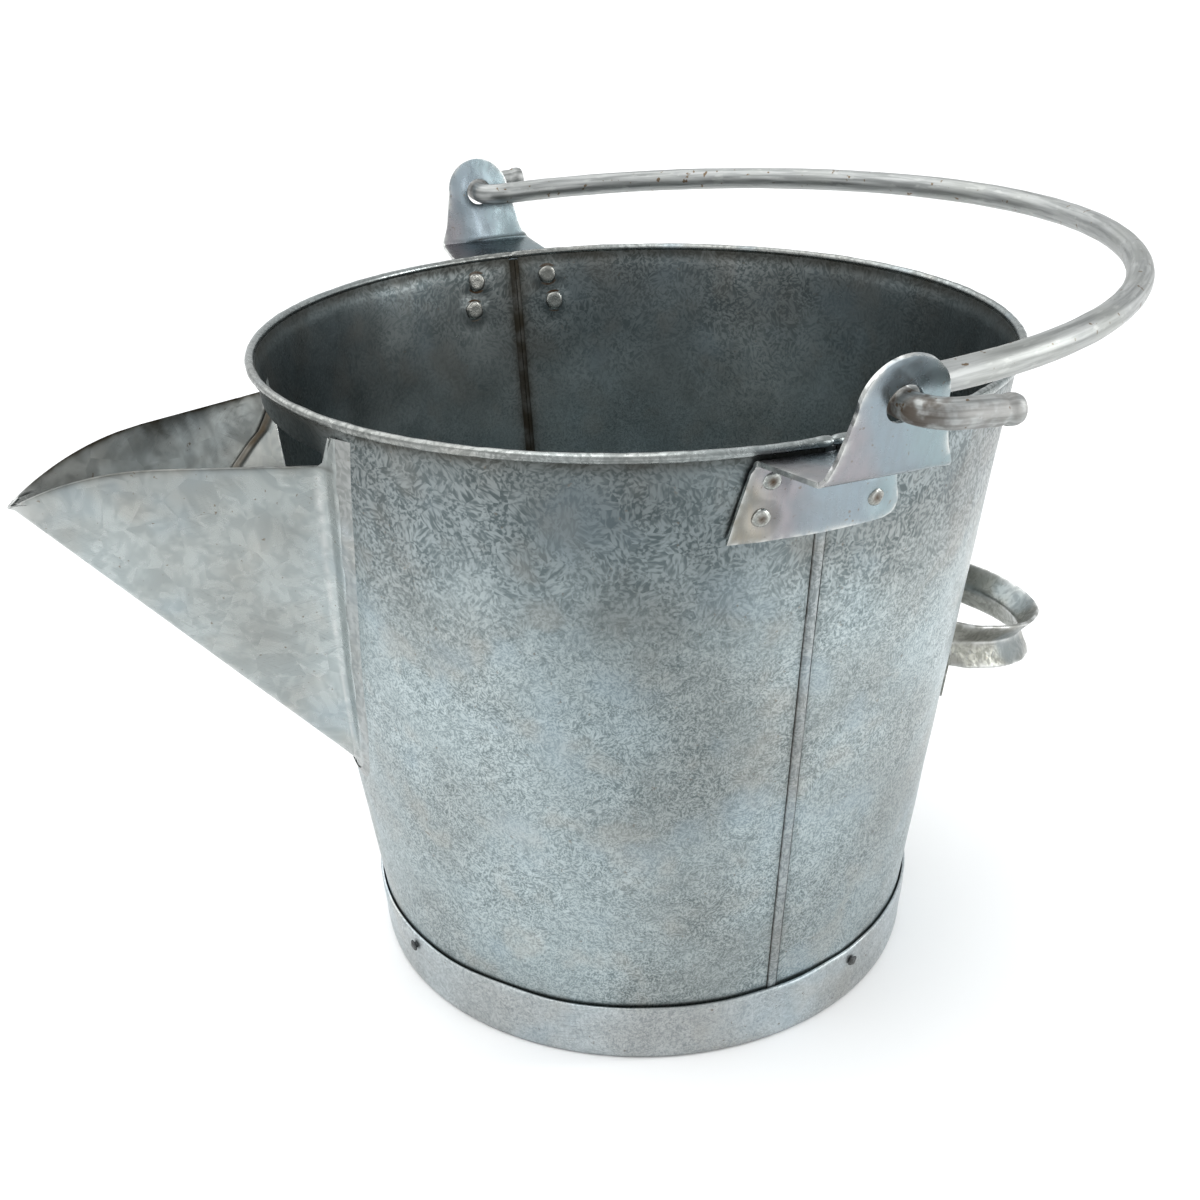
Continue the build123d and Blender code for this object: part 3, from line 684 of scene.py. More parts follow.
def spout_half(side):
    """One side of the spout, from its keel or top edge to the flange's outer line."""
    rows, tip = spout_rows()
    share = np.linspace(0, 1, 60) ** 1.3
    end = along_to_wall(rows, 0, LEG_OUT)

    def reached(along):
        rise = rows - SPOUT_EDGE_Z + SPOUT_CURVE_RADIUS
        run = np.sqrt(np.maximum(SPOUT_CURVE_RADIUS ** 2 - rise ** 2, 0))
        return vee_point(rows, 0, along)[0] > SPOUT_CURVE_START_X - run
    over_tip = rows > tip + 1e-6
    start = np.where(over_tip, solve(reached, vee_arc(rows, 0), end), 0)
    start = np.where(rows > SPOUT_EDGE_Z - 0.01, np.minimum(start, end), start)
    along = start[:, None] + (end - start)[:, None] * share
    z = np.broadcast_to(rows[:, None], along.shape)
    x, y = vee_point(z, 0, along)
    z = np.where(over_tip[:, None], z, np.minimum(z, cut_height(x) + 0.02))
    near_tip = np.clip((rows[:, None] - 222) / 20, 0, 1) * (x < -150)
    bulge = leg_bulge(xyz(x, side * y, z), share) * (1 - near_tip)
    x = x - bulge * math.sin(SPOUT_HALF_ANGLE)
    y = y + bulge * math.cos(SPOUT_HALF_ANGLE)
    sheet = xyz(x, side * y, z)
    above = rows > SPOUT_EDGE_Z + 0.01
    sheet[above, -1] = flange_line(side, rows, 0.0, SPOUT_SHEET)[above]
    lines = [flange_line(side, rows, grow, out)[:, None] for grow, out in FLANGE_STEPS]
    grid = np.concatenate([sheet] + lines, 1)
    return grid[:, ::-1] if side < 0 else grid


def spout_sheet():
    """The folded V with its flanges, worn at the lip, with a painted highlight along the folds,
    dark along the cut edge, and painted shade over its far half.
    """
    rows, _ = spout_rows()
    grid = np.concatenate([spout_half(-1), spout_half(1)], 1)
    x, y, z = np.moveaxis(grid, -1, 0)
    columns = grid.shape[1]
    flange = len(FLANGE_STEPS)
    keep = np.ones((len(rows) - 1, columns - 1), bool)
    keep[rows[:-1] > SPOUT_EDGE_Z - 0.01, flange:columns - flange - 1] = False
    keep[rows[:-1] > SPOUT_TIP_Z - 0.2, columns // 2 - 1] = False
    lip = fading(x - SPOUT_TIP_X, 6.0)
    # A painted highlight along the two folds between the spout's sides and its flanges; the lip's
    # wear is real.
    fold = np.zeros(columns)
    fold[[flange, columns - flange - 1]] = 0.5
    wear_and_highlight = np.maximum(lip, fold * (rows < SPOUT_EDGE_Z - 4)[:, None])
    below = cut_height(x) - z
    edge = np.exp(-np.abs(below) / 1.2) * (x < -135) * (1 - lip)
    spots = smoothstep(0.25, 0.9, ripple(grid, 16, 44))
    marks = spots * bell(below, 4.5) * bell(x + 168, 26) * (y > 0)
    # Painted shade over the spout's far half, added to the dark cut edge and the rust marks.
    stain_and_shade = np.maximum(edge, marks) + 0.80 * smoothstep(0, 6, y)
    made = grid_object("spout_sheet", grid, keep, {"wear_and_highlight": wear_and_highlight, "stain_and_shade": stain_and_shade})
    face_away(made, (-130, 0, 260))
    thicken(made, SPOUT_SHEET, even=False)
    soften(made, 0.22)
    return made


def solder_line():
    """The solder smeared along the flange's outer edge, thicker at its lower end."""
    rows, _ = spout_rows()
    rise = (rows - rows[0]) / (rows[-1] - rows[0])
    section = (
        (-1.0, -0.25), (-0.7, 0.75), (0.1, 0.8), (1.0, 0.5), (2.4, 0.24), (4.0, 0.04),
        (4.4, -0.25),
    )
    halves = []
    for side in (-1, 1):
        lines = []
        for beyond, out in section:
            grow = FLANGE_WIDTH + beyond
            line = flange_line(side, rows, grow, out)
            if out > 0:
                lump = 0.16 * ripple(line + grow, 9, 51) + 0.14 * ripple(line + grow, 23, 52)
                swell = out * (0.7 * (1 - smoothstep(0, 0.06, rise)) + lump)
                line[:, :2] *= 1 + (swell / np.hypot(line[:, 0], line[:, 1]))[:, None]
            lines.append(line)
        halves.append(np.stack(lines, 1))
    made = tube_object("solder_line", np.concatenate([halves[0][::-1], halves[1]], 0))
    soften(made, 0, angle=60)
    return made


def tongue(name, side):
    """The wall's cut sheet turned out along the spout's inner face, with a ragged edge."""
    heights = joined_rows((TONGUE_LOW, 205, 60), (205, TONGUE_HIGH, 48))
    left = np.interp(heights, *np.array(TONGUE_OUTLINE).T)
    left += 0.45 * ripple(xyz(heights, side * 30, 0), 13, 61)
    grow = -SPOUT_SHEET - 0.08
    right = vee_point(heights, grow, along_to_wall(heights, grow, -0.2))[0][:, None]
    left = np.minimum(left[:, None], right - 0.4)
    x = left + (right - left) * np.linspace(0, 1, 22)
    z = np.broadcast_to(heights[:, None], x.shape)
    radius = vee_round(z, grow)
    touch_x = keel_x(z) + keel_round(z) - radius * math.sin(SPOUT_HALF_ANGLE)
    touch_y = radius * math.cos(SPOUT_HALF_ANGLE)
    lift = 0.10 * (1 + ripple(xyz(x, side * 40, z), 22, 62))
    y = np.maximum(touch_y + (x - touch_x) * math.tan(SPOUT_HALF_ANGLE) - lift, 0.9)
    from_edge = x - left
    y = y - 0.7 * bell(from_edge - 1.6, 1.7)
    stain_and_shade = np.maximum(bell(from_edge - 1.2, 2.2), 0.6 * np.exp(-np.abs(z - TONGUE_HIGH) / 2))
    made = grid_object(name, xyz(x, side * y, z), attributes={"stain_and_shade": stain_and_shade})
    face_away(made, (-150, 0, 200))
    thicken(made, TONGUE_SHEET)
    soften(made, 0.2)
    return made


# ---- ears ----
def ear_route():
    """The middle of the ear's sheet from the side as (y, z), and the shelf's two corners."""
    middle = EAR_STANDOFF + EAR_SHEET / 2
    shelf_z = EAR_SHELF_TOP - EAR_SHEET / 2
    start = np.array([wall_radius(EAR_PLATE_BOTTOM) + middle, EAR_PLATE_BOTTOM])
    inner = np.array([wall_radius(EAR_SHELF_TOP) + middle, shelf_z])
    outer = np.array([EAR_TAB_Y, shelf_z + EAR_SHELF_RISE])
    tab_height = PIVOT_Z + EAR_TAB_ROUND - outer[1]
    end = outer + np.array([math.tan(EAR_TAB_LEAN), 1.0]) * tab_height
    low_bend = bend_points(start, inner, outer, EAR_LOW_BEND, 9)
    tab_bend = bend_points(inner, outer, end, EAR_TAB_BEND, 9)
    plate = start + (inner - start) * np.linspace(0, 0.88, 26)[:, None]
    shelf = low_bend[-1] + (tab_bend[0] - low_bend[-1]) * np.linspace(0, 1, 14)[1:-1, None]
    foot = tab_bend[-1]
    round_angles = np.linspace(0, 1, 22) ** 0.8 * math.pi / 2
    heights = np.append(
        np.linspace(foot[1], PIVOT_Z, 22)[1:-1],
        PIVOT_Z + EAR_TAB_ROUND * np.sin(round_angles))
    tab = foot + (end - foot) * ((heights - foot[1]) / (end[1] - foot[1]))[:, None]
    return np.vstack([plate, low_bend, shelf, tab_bend, tab]), inner, outer


def ear_widths(z, outer_z, on_shelf, is_plate, is_tab):
    """Half the ear's width along its route: a plate, a shelf and a round-topped tab."""
    rise = np.clip((z - EAR_PLATE_BOTTOM) / (EAR_SHELF_TOP - EAR_PLATE_BOTTOM), 0, 1)
    plate = EAR_PLATE_HALF_BOTTOM + (EAR_PLATE_HALF_TOP - EAR_PLATE_HALF_BOTTOM) * rise
    shelf = EAR_PLATE_HALF_TOP + (EAR_SHELF_HALF_WIDTH - EAR_PLATE_HALF_TOP) * on_shelf
    flare = (EAR_TAB_HALF_BASE - EAR_TAB_ROUND) / (PIVOT_Z - outer_z - EAR_TAB_SHOULDER)
    rounded = np.sqrt(np.maximum(EAR_TAB_ROUND ** 2 - (z - PIVOT_Z) ** 2, 0.04))
    tab = np.where(z < PIVOT_Z, EAR_TAB_ROUND + flare * (PIVOT_Z - z), rounded)
    tab = tab + 1.8 * bell(np.maximum(z - outer_z, 0), 5.0)
    half = np.where(is_plate, plate, np.where(is_tab, tab, shelf))
    smooth = np.convolve(np.pad(half, 3, "edge"), np.ones(7) / 7, "valid")
    return np.where(np.abs(z - outer_z) < 4.0, smooth, half)


def ear(name, side):
    """A bent ear: riveted plate, shelf under the rim's edge, leaning tab with the bail's hole."""
    route, inner, outer = ear_route()
    y0, z0 = route.T
    on_shelf = np.clip((y0 - inner[0]) / (outer[0] - inner[0]), 0, 1)
    is_plate = y0 < inner[0] - 0.4
    is_tab = y0 > outer[0] - 2.2
    half = ear_widths(z0, outer[1], on_shelf, is_plate, is_tab)
    up_corner = np.clip(1 - (z0 - EAR_PLATE_BOTTOM) / EAR_PLATE_CORNER, 0, 1)
    cut = EAR_PLATE_CORNER * (1 - np.sqrt(1 - up_corner ** 2))
    columns = np.linspace(-1, 1, 61)
    x = -cut[:, None] / 2 + (half - cut / 2)[:, None] * columns
    z = np.broadcast_to(z0[:, None], x.shape)
    sag = y0[:, None] - np.sqrt(np.maximum(y0[:, None] ** 2 - x ** 2, 1))
    y = y0[:, None] - sag * (1 - smoothstep(0.05, 0.95, on_shelf))[:, None]
    push = np.zeros_like(x)
    for rivet_x, rivet_z in EAR_RIVETS:
        away = np.hypot(x - rivet_x, z - rivet_z + 0.4)
        push += 0.22 * bell(away - 6.2, 1.8) - EAR_RIVET_SINK * bell(away, 3.6)
    flat = xyz(x, side * y, z)
    warp = 0.25 * ripple(flat, 40, 71 + side) + 0.08 * ripple(flat, 15, 73 + side)
    warp = warp * np.where(is_tab | is_plate, 0.8, 0.24)[:, None]
    points = xyz(x, side * (y + push * is_plate[:, None] + warp), z)
    from_side = (1 - np.abs(columns)) * half[:, None]
    from_ends = np.minimum(z0 - z0[0], np.arange(len(z0))[::-1] * 1.2)[:, None]
    wear_and_highlight = np.exp(-np.minimum(from_side, from_ends) / 0.9)
    made = grid_object(name, points, attributes={"wear_and_highlight": wear_and_highlight})
    face_away(made, (0, side * 120, 250))
    thicken(made, EAR_SHEET, offset=0)
    bore(made, side)
    soften(made, 0.35, segments=3, angle=45)
    return made


def bore(made, side):
    """The bail's hole through the ear's tab, with slightly worn, uneven edges."""
    turns = full_turn(48)
    radius = EAR_HOLE_RADIUS * (1 + 0.012 * np.sin(2 * turns + 0.6))
    ring = xyz(radius * np.cos(turns), 0, PIVOT_Z + radius * np.sin(turns))
    cutter = tube_object("cutter", np.stack([ring + (0, side * y, 0) for y in (165, 215)]))
    cut = made.modifiers.new("hole", "BOOLEAN")
    cut.operation = "DIFFERENCE"
    cut.solver = "EXACT"
    cut.object = cutter
    applied(made)
    bpy.data.objects.remove(cutter)


# ---- rivets and nails ----
def set_piece(name, grid, place, stain_and_shade=0.0):
    """A turned fastener from rings of points, moved to its place on the wall."""
    place = np.array(place)
    grid = grid @ place[:3, :3].T + place[:3, 3]
    made = grid_object(name, grid, attributes={"stain_and_shade": stain_and_shade}, close_rows=True)
    outward(made)
    soften(made, 0, angle=50)
    return made


def rivet_piece(name, place, grip, heads, seed):
    """A set rivet: a hammered outer head, its shank, and the wide low head inside the pail, with a
    ring of painted shade round the foot of each head.
    """
    inner, outer = heads
    top, back = grip + RIVET_GAP, -SHEET - RIVET_GAP
    # The thin flat skirts round each head's foot, out to inner + 0.8 and outer + 0.7, carry that
    # ring of painted shade.
    profile = np.array([
        (0.0, back - 1.05), (inner * 0.4, back - 1.1), (inner * 0.7, back - 1.15),
        (inner * 0.86, back - 1.0), (inner * 0.95, back - 0.6), (inner * 0.97, back - 0.12),
        (inner + 0.8, back - 0.1), (inner + 0.8, back), (RIVET_SHANK_RADIUS, back),
        (RIVET_SHANK_RADIUS, top), (outer + 0.7, top), (outer + 0.7, top + 0.06),
        (outer * 0.98, top + 0.1), (outer, top + 0.25), (outer * 0.93, top + 0.6),
        (outer * 0.78, top + 0.95), (outer * 0.55, top + 1.12), (outer * 0.3, top + 1.0),
        (0.0, top + 0.92),
    ])
    radius, height = profile.T
    grid = spun(profile, full_turn(40))
    uneven = 1 + 0.05 * ripple(grid + seed * 11.0, 5.0, seed)
    head = np.abs(height - (top + back) / 2) > (top - back) / 2 + 0.1
    grid[..., :2] *= np.where(head, uneven, 1)[..., None]
    stain_and_shade = np.clip(1.25 - radius / (0.62 * outer), 0, 1) * (height > top + 0.3)
    # Painted shade: a dark ring on the skirts where each head meets the sheet.
    crevice_shade = (radius > RIVET_SHANK_RADIUS + 0.1) & (height > back - 0.2) & (height < top + 0.2)
    return set_piece(name, grid, place, np.maximum(stain_and_shade, crevice_shade))


def nail_piece(name, place, seed):
    """A clout nail: a squarish hammered head outside, its shank and a clinched end inside."""
    face = (foot_radius(NAIL_Z) - wall_radius(NAIL_Z)) / math.cos(WALL_LEAN) + 0.25
    radius, height = np.array([
        (0.0, -3.4), (1.6, -3.4), (2.2, -3.1), (2.2, -2.65), (1.3, -2.6), (1.3, face),
        (1.85, face), (2.0, face + 0.3), (1.9, face + 0.8), (1.45, face + 1.15),
        (0.8, face + 1.25), (0.0, face + 1.2),
    ]).T
    turns = full_turn(32)[:, None]
    square = 1 / np.maximum(np.abs(np.cos(turns + 0.35)), np.abs(np.sin(turns + 0.35)))
    blend = np.where((height > face - 0.01) & (radius > 1.3), 0.85, 0.0)
    grid = polar(radius * (1 + blend * (np.minimum(square, 1.3) - 1)), turns, height)
    grid[..., :2] *= (1 + 0.06 * ripple(grid + seed * 7.0, 3.5, seed))[..., None]
    return set_piece(name, grid, place)


# ---- bail ----
def line_points(start, end, spacing=1.2):
    count = max(2, int(np.linalg.norm(end - start) / spacing))
    return start + (end - start) * np.linspace(0, 1, count)[:, None]


def bail_route():
    """The rod's middle line from the near hook's end to the far one's, while it lies level."""
    along = BAIL_REACH - BAIL_ARM_START - BAIL_APEX_RADIUS
    across = BAIL_HALF_WIDTH - BAIL_APEX_RADIUS
    extra = (along ** 2 + across ** 2) / (2 * across)
    flank = BAIL_APEX_RADIUS + extra
    turn = math.acos((extra - across) / extra)
    sweep = np.linspace(0, turn, 70)
    halves = {}
    for side, (length, tilt) in HOOKS.items():
        outer = np.array([0.0, side * HOOK_Y, 0.0])
        inner = np.array([0.0, side * BAIL_HALF_WIDTH, 0.0])
        tip = outer + (length * math.cos(tilt), 0, length * math.sin(tilt))
        hook = bend_points(tip, outer, inner, HOOK_BEND_RADIUS, 16)
        neck = bend_points(outer, inner, inner + (BAIL_ARM_START, 0, 0), NECK_BEND_RADIUS, 14)
        curve = xyz(
            BAIL_ARM_START + flank * np.sin(sweep),
            side * (BAIL_HALF_WIDTH - flank * (1 - np.cos(sweep))), 0)
        halves[side] = np.vstack([
            line_points(tip, hook[0]), hook, line_points(hook[-1], neck[0]), neck, curve,
        ])
    open_angle = math.pi / 2 - turn
    arc = polar(BAIL_APEX_RADIUS, np.linspace(-open_angle, open_angle, 220)[1:-1], 0)
    arc[:, 0] += BAIL_REACH - BAIL_APEX_RADIUS
    points = np.vstack([halves[-1], arc, halves[1][::-1]])
    step = np.linalg.norm(np.diff(points, axis=0), axis=1)
    return points[np.append(True, step > 0.02)]


def bail_rod():
    """The rod swept along its route, uneven, with a lip at each end and stained at the hooks."""
    points = bail_route()
    tangent = np.gradient(points, axis=0)
    tangent /= np.linalg.norm(tangent, axis=1, keepdims=True)
    up = np.array([0.0, 0.0, 1.0]) - tangent * tangent[:, 2:3]
    up /= np.linalg.norm(up, axis=1, keepdims=True)
    sideways = np.cross(tangent, up)
    run = np.append(0, np.cumsum(np.linalg.norm(np.diff(points, axis=0), axis=1)))
    from_middle = np.abs(points[:, 1])
    radius = ROD_RADIUS * (1 + 0.010 * ripple(points, 23, 81) + 0.005 * ripple(points, 7, 82))
    radius = radius - 0.15 - 0.25 * smoothstep(-5, 12, from_middle - BAIL_HALF_WIDTH)
    for end in (run, run[-1] - run):
        radius += 0.2 * bell(end - 3.0, 1.4) - 0.45 * bell(end - 5.6, 0.7) - 0.5 * bell(end, 0.4)
    turns = full_turn(36)
    round_x, round_y = np.cos(turns)[:, None], np.sin(turns)[:, None]
    grid = points[:, None] + radius[:, None, None] * (
        round_x * sideways[:, None] + round_y * up[:, None])
    bend = bell(points[:, 0] + 1, 9) * smoothstep(176, 188, from_middle)
    bend = np.maximum(bend, 0.35 * smoothstep(186, 194, from_middle))
    bend *= np.where(points[:, 1] < 0, 1.0, 0.4)
    made = tube_object("bail_rod", grid, {
        "stain_and_shade": bend[:, None],
        "run": run[:, None],
        "turn_a": ROD_RADIUS * np.cos(turns),
        "turn_b": ROD_RADIUS * np.sin(turns),
    })
    tilt = Matrix.Rotation(-BAIL_REST_ANGLE, 4, "Y")
    made.data.transform(Matrix.Translation((0, 0, PIVOT_Z * MM)) @ tilt)
    soften(made, 0, angle=60)
    return made


# ---- tipping handle ----
def handle_route():
    """The strap's middle line from above, with its outward direction and, for each place,
    how deep the groove is pressed and how much of the loop's tilt it has."""
    loop_x = HANDLE_REACH - HANDLE_LOOP_RADIUS
    wall = wall_radius(HANDLE_ROOT_Z)
    start_angle = math.asin(HANDLE_LOOP_RADIUS / wall)
    corner = np.array([wall * math.cos(start_angle) + 0.4, HANDLE_LOOP_RADIUS + 0.6])
    loop_start = np.array([loop_x, HANDLE_LOOP_RADIUS])
    sideways = np.array([0.0, 1.0])
    stops = []
    for t in np.linspace(1, 0, 26):
        angle = start_angle + t * HANDLE_FOOT_LENGTH / wall + 0.02
        out = np.array([math.cos(angle), math.sin(angle)])
        stops.append(((wall + HANDLE_SHEET / 2 + 0.05) * out, out, 0, 0))
    foot = stops[-1][0]
    bend = bend_points(foot + (foot - corner) * 2, corner, loop_start, HANDLE_FOOT_BEND, 12)
    nearest = np.linalg.norm(bend[0] - corner) + 0.2
    stops = [stop for stop in stops if np.linalg.norm(stop[0] - corner) >= nearest]
    foot_out = stops[-1][1]
    for t, place in zip(np.linspace(0, 1, 12), bend):
        out = foot_out * (1 - t) + sideways * t
        stops.append((place, out / np.linalg.norm(out), 0, 0.25 * t))
    for t in np.linspace(0, 1, 18)[1:]:
        place = bend[-1] + (loop_start - bend[-1]) * t
        stops.append((place, sideways, smoothstep(0, 0.75, t), 0.25 + 0.75 * smoothstep(0, 0.3, t)))
    for angle in np.linspace(0, math.pi / 2, 40)[1:]:
        out = np.array([math.sin(angle), math.cos(angle)])
        stops.append(((loop_x, 0) + HANDLE_LOOP_RADIUS * out, out, 1, 1))
    places, outs, groove, tilt = (np.array(column, float) for column in zip(*stops))

    def both_halves(values, flip=1):
        return np.concatenate([values, (values[:-1] * flip)[::-1]])
    return (both_halves(places, (1, -1)), both_halves(outs, (1, -1)),
            both_halves(groove)[:, None], both_halves(tilt)[:, None])


def handle_strap():
    """A strap pressed into a V and bent round into a loop, its ends flat against the wall."""
    places, outs, groove, tilt = handle_route()
    across = np.linspace(-1, 1, 25)
    rounded_vee = np.sqrt(across ** 2 + 0.016) - math.sqrt(0.016)
    z = HANDLE_HALF_HEIGHT * across * (1 - 0.03 * groove)
    out = HANDLE_GROOVE_DEPTH * groove * rounded_vee + WALL_SLOPE * (1 - tilt) * z
    x, y = np.moveaxis(places[:, None] + outs[:, None] * out[..., None], -1, 0)
    swing = HANDLE_TILT * tilt
    reach = x - HANDLE_ROOT_X
    grid = xyz(
        HANDLE_ROOT_X + reach * np.cos(swing) + z * np.sin(swing), y,
        HANDLE_ROOT_Z - reach * np.sin(swing) + z * np.cos(swing))
    uneven = (0.25 * ripple(grid, 35, 91) + 0.10 * ripple(grid, 12, 92)) * groove
    grid[..., :2] += uneven[..., None] * outs[:, None]
    from_edge = (1 - np.abs(across)) * HANDLE_HALF_HEIGHT
    from_crease = np.abs(across) * HANDLE_HALF_HEIGHT
    wear_and_highlight = np.maximum(np.exp(-from_edge), 0.6 * np.exp(-from_crease / 1.2))
    made = grid_object("handle_strap", grid, attributes={"wear_and_highlight": wear_and_highlight})
    face_away(made, (HANDLE_REACH - HANDLE_LOOP_RADIUS - 40, 0, HANDLE_ROOT_Z))
    thicken(made, HANDLE_SHEET, offset=0)
    soften(made, 0.35, segments=3)
    return made


# ---- materials ----
class Shader:
    """One material's nodes, with short calls for the kinds used here, in millimetres."""

    def __init__(self, name):
        self.material = bpy.data.materials.new(name)
        self.material.use_nodes = True
        self.tree = self.material.node_tree
        self.tree.nodes.clear()
        where = self.add("ShaderNodeTexCoord").outputs["Object"]
        self.place = self.add(
            "ShaderNodeVectorMath", operation="SCALE", Vector=where, Scale=1 / MM).outputs[0]
        parts = self.add("ShaderNodeSeparateXYZ", Vector=self.place).outputs
        self.x, self.y, self.z = parts[0], parts[1], parts[2]

    def add(self, kind, **settings):
        node = self.tree.nodes.new(kind)
        for key, value in settings.items():
            if hasattr(node, key):
                setattr(node, key, value)
            else:
                self.feed(node.inputs[key.replace("_", " ")], value)
        return node

    def feed(self, socket, value):
        if isinstance(value, bpy.types.NodeSocket):
            self.tree.links.new(value, socket)
        elif isinstance(value, tuple) and len(value) == 3 and socket.type == "RGBA":
            socket.default_value = (*value, 1)
        else:
            socket.default_value = value

    def maths(self, operation, *values):
        node = self.add("ShaderNodeMath", operation=operation)
        for socket, value in zip(node.inputs, values):
            self.feed(socket, value)
        return node.outputs[0]

    def mix(self, factor, first, second, blend="MIX"):
        node = self.add("ShaderNodeMix", data_type="RGBA", blend_type=blend)
        self.feed(node.inputs[0], factor)
        self.feed(node.inputs[6], first)
        self.feed(node.inputs[7], second)
        return node.outputs[2]

    def step(self, value, low, high, to_low=0.0, to_high=1.0):
        return self.add(
            "ShaderNodeMapRange", interpolation_type="SMOOTHSTEP", Value=value, From_Min=low,
            From_Max=high, To_Min=to_low, To_Max=to_high).outputs[0]

    def noise(self, size, detail=2.0, vector=None, distortion=0.0):
        return self.add(
            "ShaderNodeTexNoise", Vector=self.place if vector is None else vector,
            Scale=1 / size, Detail=detail, Distortion=distortion).outputs[0]

    def blotches(self, size, detail, low, high, amount=1.0):
        """A noise's upper part: 0 where it is under low, amount where it is over high."""
        return self.step(self.noise(size, detail), low, high, 0, amount)

    def scaled(self, vector, scale):
        node = self.add("ShaderNodeVectorMath", operation="MULTIPLY")
        self.feed(node.inputs[0], vector)
        node.inputs[1].default_value = scale
        return node.outputs[0]

    def kept(self, name):
        """A value stored on the mesh: stains and painted shade, wear and painted highlight, or the
        run along and the turn round a rod.
        """
        return self.add("ShaderNodeAttribute", attribute_name=name).outputs["Fac"]

    def spangle(self, size, stroke):
        """The leafy crystals of hot-dip zinc, about 0 to 1: each cell's strokes lie another way."""
        cells = self.add("ShaderNodeTexVoronoi", Vector=self.place, Scale=1 / size)
        turn = self.scaled(cells.outputs["Color"], (6.28, 6.28, 6.28))
        swirl = self.add(
            "ShaderNodeVectorRotate", rotation_type="EULER_XYZ", Vector=self.place, Rotation=turn)
        leaf = self.scaled(swirl.outputs[0], (1 / stroke, 0.30 / stroke, 1 / stroke))
        grain = self.noise(1.0, 1.0, leaf, 0.4)
        shade = self.add("ShaderNodeSeparateColor", Color=cells.outputs["Color"]).outputs[0]
        shade = self.maths("MULTIPLY_ADD", shade, 0.36, -0.18)
        return self.maths("ADD", self.step(grain, 0.34, 0.66), shade)

    def surface(self, colour, roughness, heights, metallic=1.0):
        """Joins everything to the shader; heights holds (height, millimetres) for the bumps."""
        shader = self.add(
            "ShaderNodeBsdfPrincipled", Base_Color=colour, Roughness=roughness, Metallic=metallic)
        normal = None
        for height, distance in heights:
            bump = self.add("ShaderNodeBump", Height=height, Distance=distance * MM)
            if normal is not None:
                self.feed(bump.inputs["Normal"], normal)
            normal = bump.outputs[0]
        self.feed(shader.inputs["Normal"], normal)
        output = self.add("ShaderNodeOutputMaterial")
        self.tree.links.new(shader.outputs[0], output.inputs["Surface"])
        return self.material


# Tints laid over every zinc surface.
BLUE = (0.31, 0.385, 0.43)
WARM = (0.44, 0.415, 0.37)
# The dark tint below is also the colour of painted shade: under the rim, over the spout's far half.
DIRT_AND_SHADE = (0.045, 0.040, 0.030)
RUST = (0.062, 0.040, 0.024)
# BRIGHT is also the colour of the painted highlight along the spout's folds.
BRIGHT = (0.60, 0.61, 0.60)


def scratch_lines(s, amount):
    """Fine straight scratches in three directions, kept to patches."""
    lines = None
    for turn, squeeze in (((0.3, 0.9, 0.4), 0.9), ((1.2, 0.2, 2.1), 1.3), ((0.8, 2.4, 1.0), 1.1)):
        twist = s.add(
            "ShaderNodeVectorRotate", rotation_type="EULER_XYZ", Vector=s.place, Rotation=turn)
        streak = s.noise(1.0, 1.0, s.scaled(twist.outputs[0], (squeeze, 0.022, 0.06)))
        line = s.step(s.maths("ABSOLUTE", s.maths("SUBTRACT", streak, 0.5)), 0.012, 0.0)
        lines = line if lines is None else s.maths("MAXIMUM", lines, line)
    return s.maths("MULTIPLY", lines, s.blotches(26, 2, 0.45, 0.62, amount))


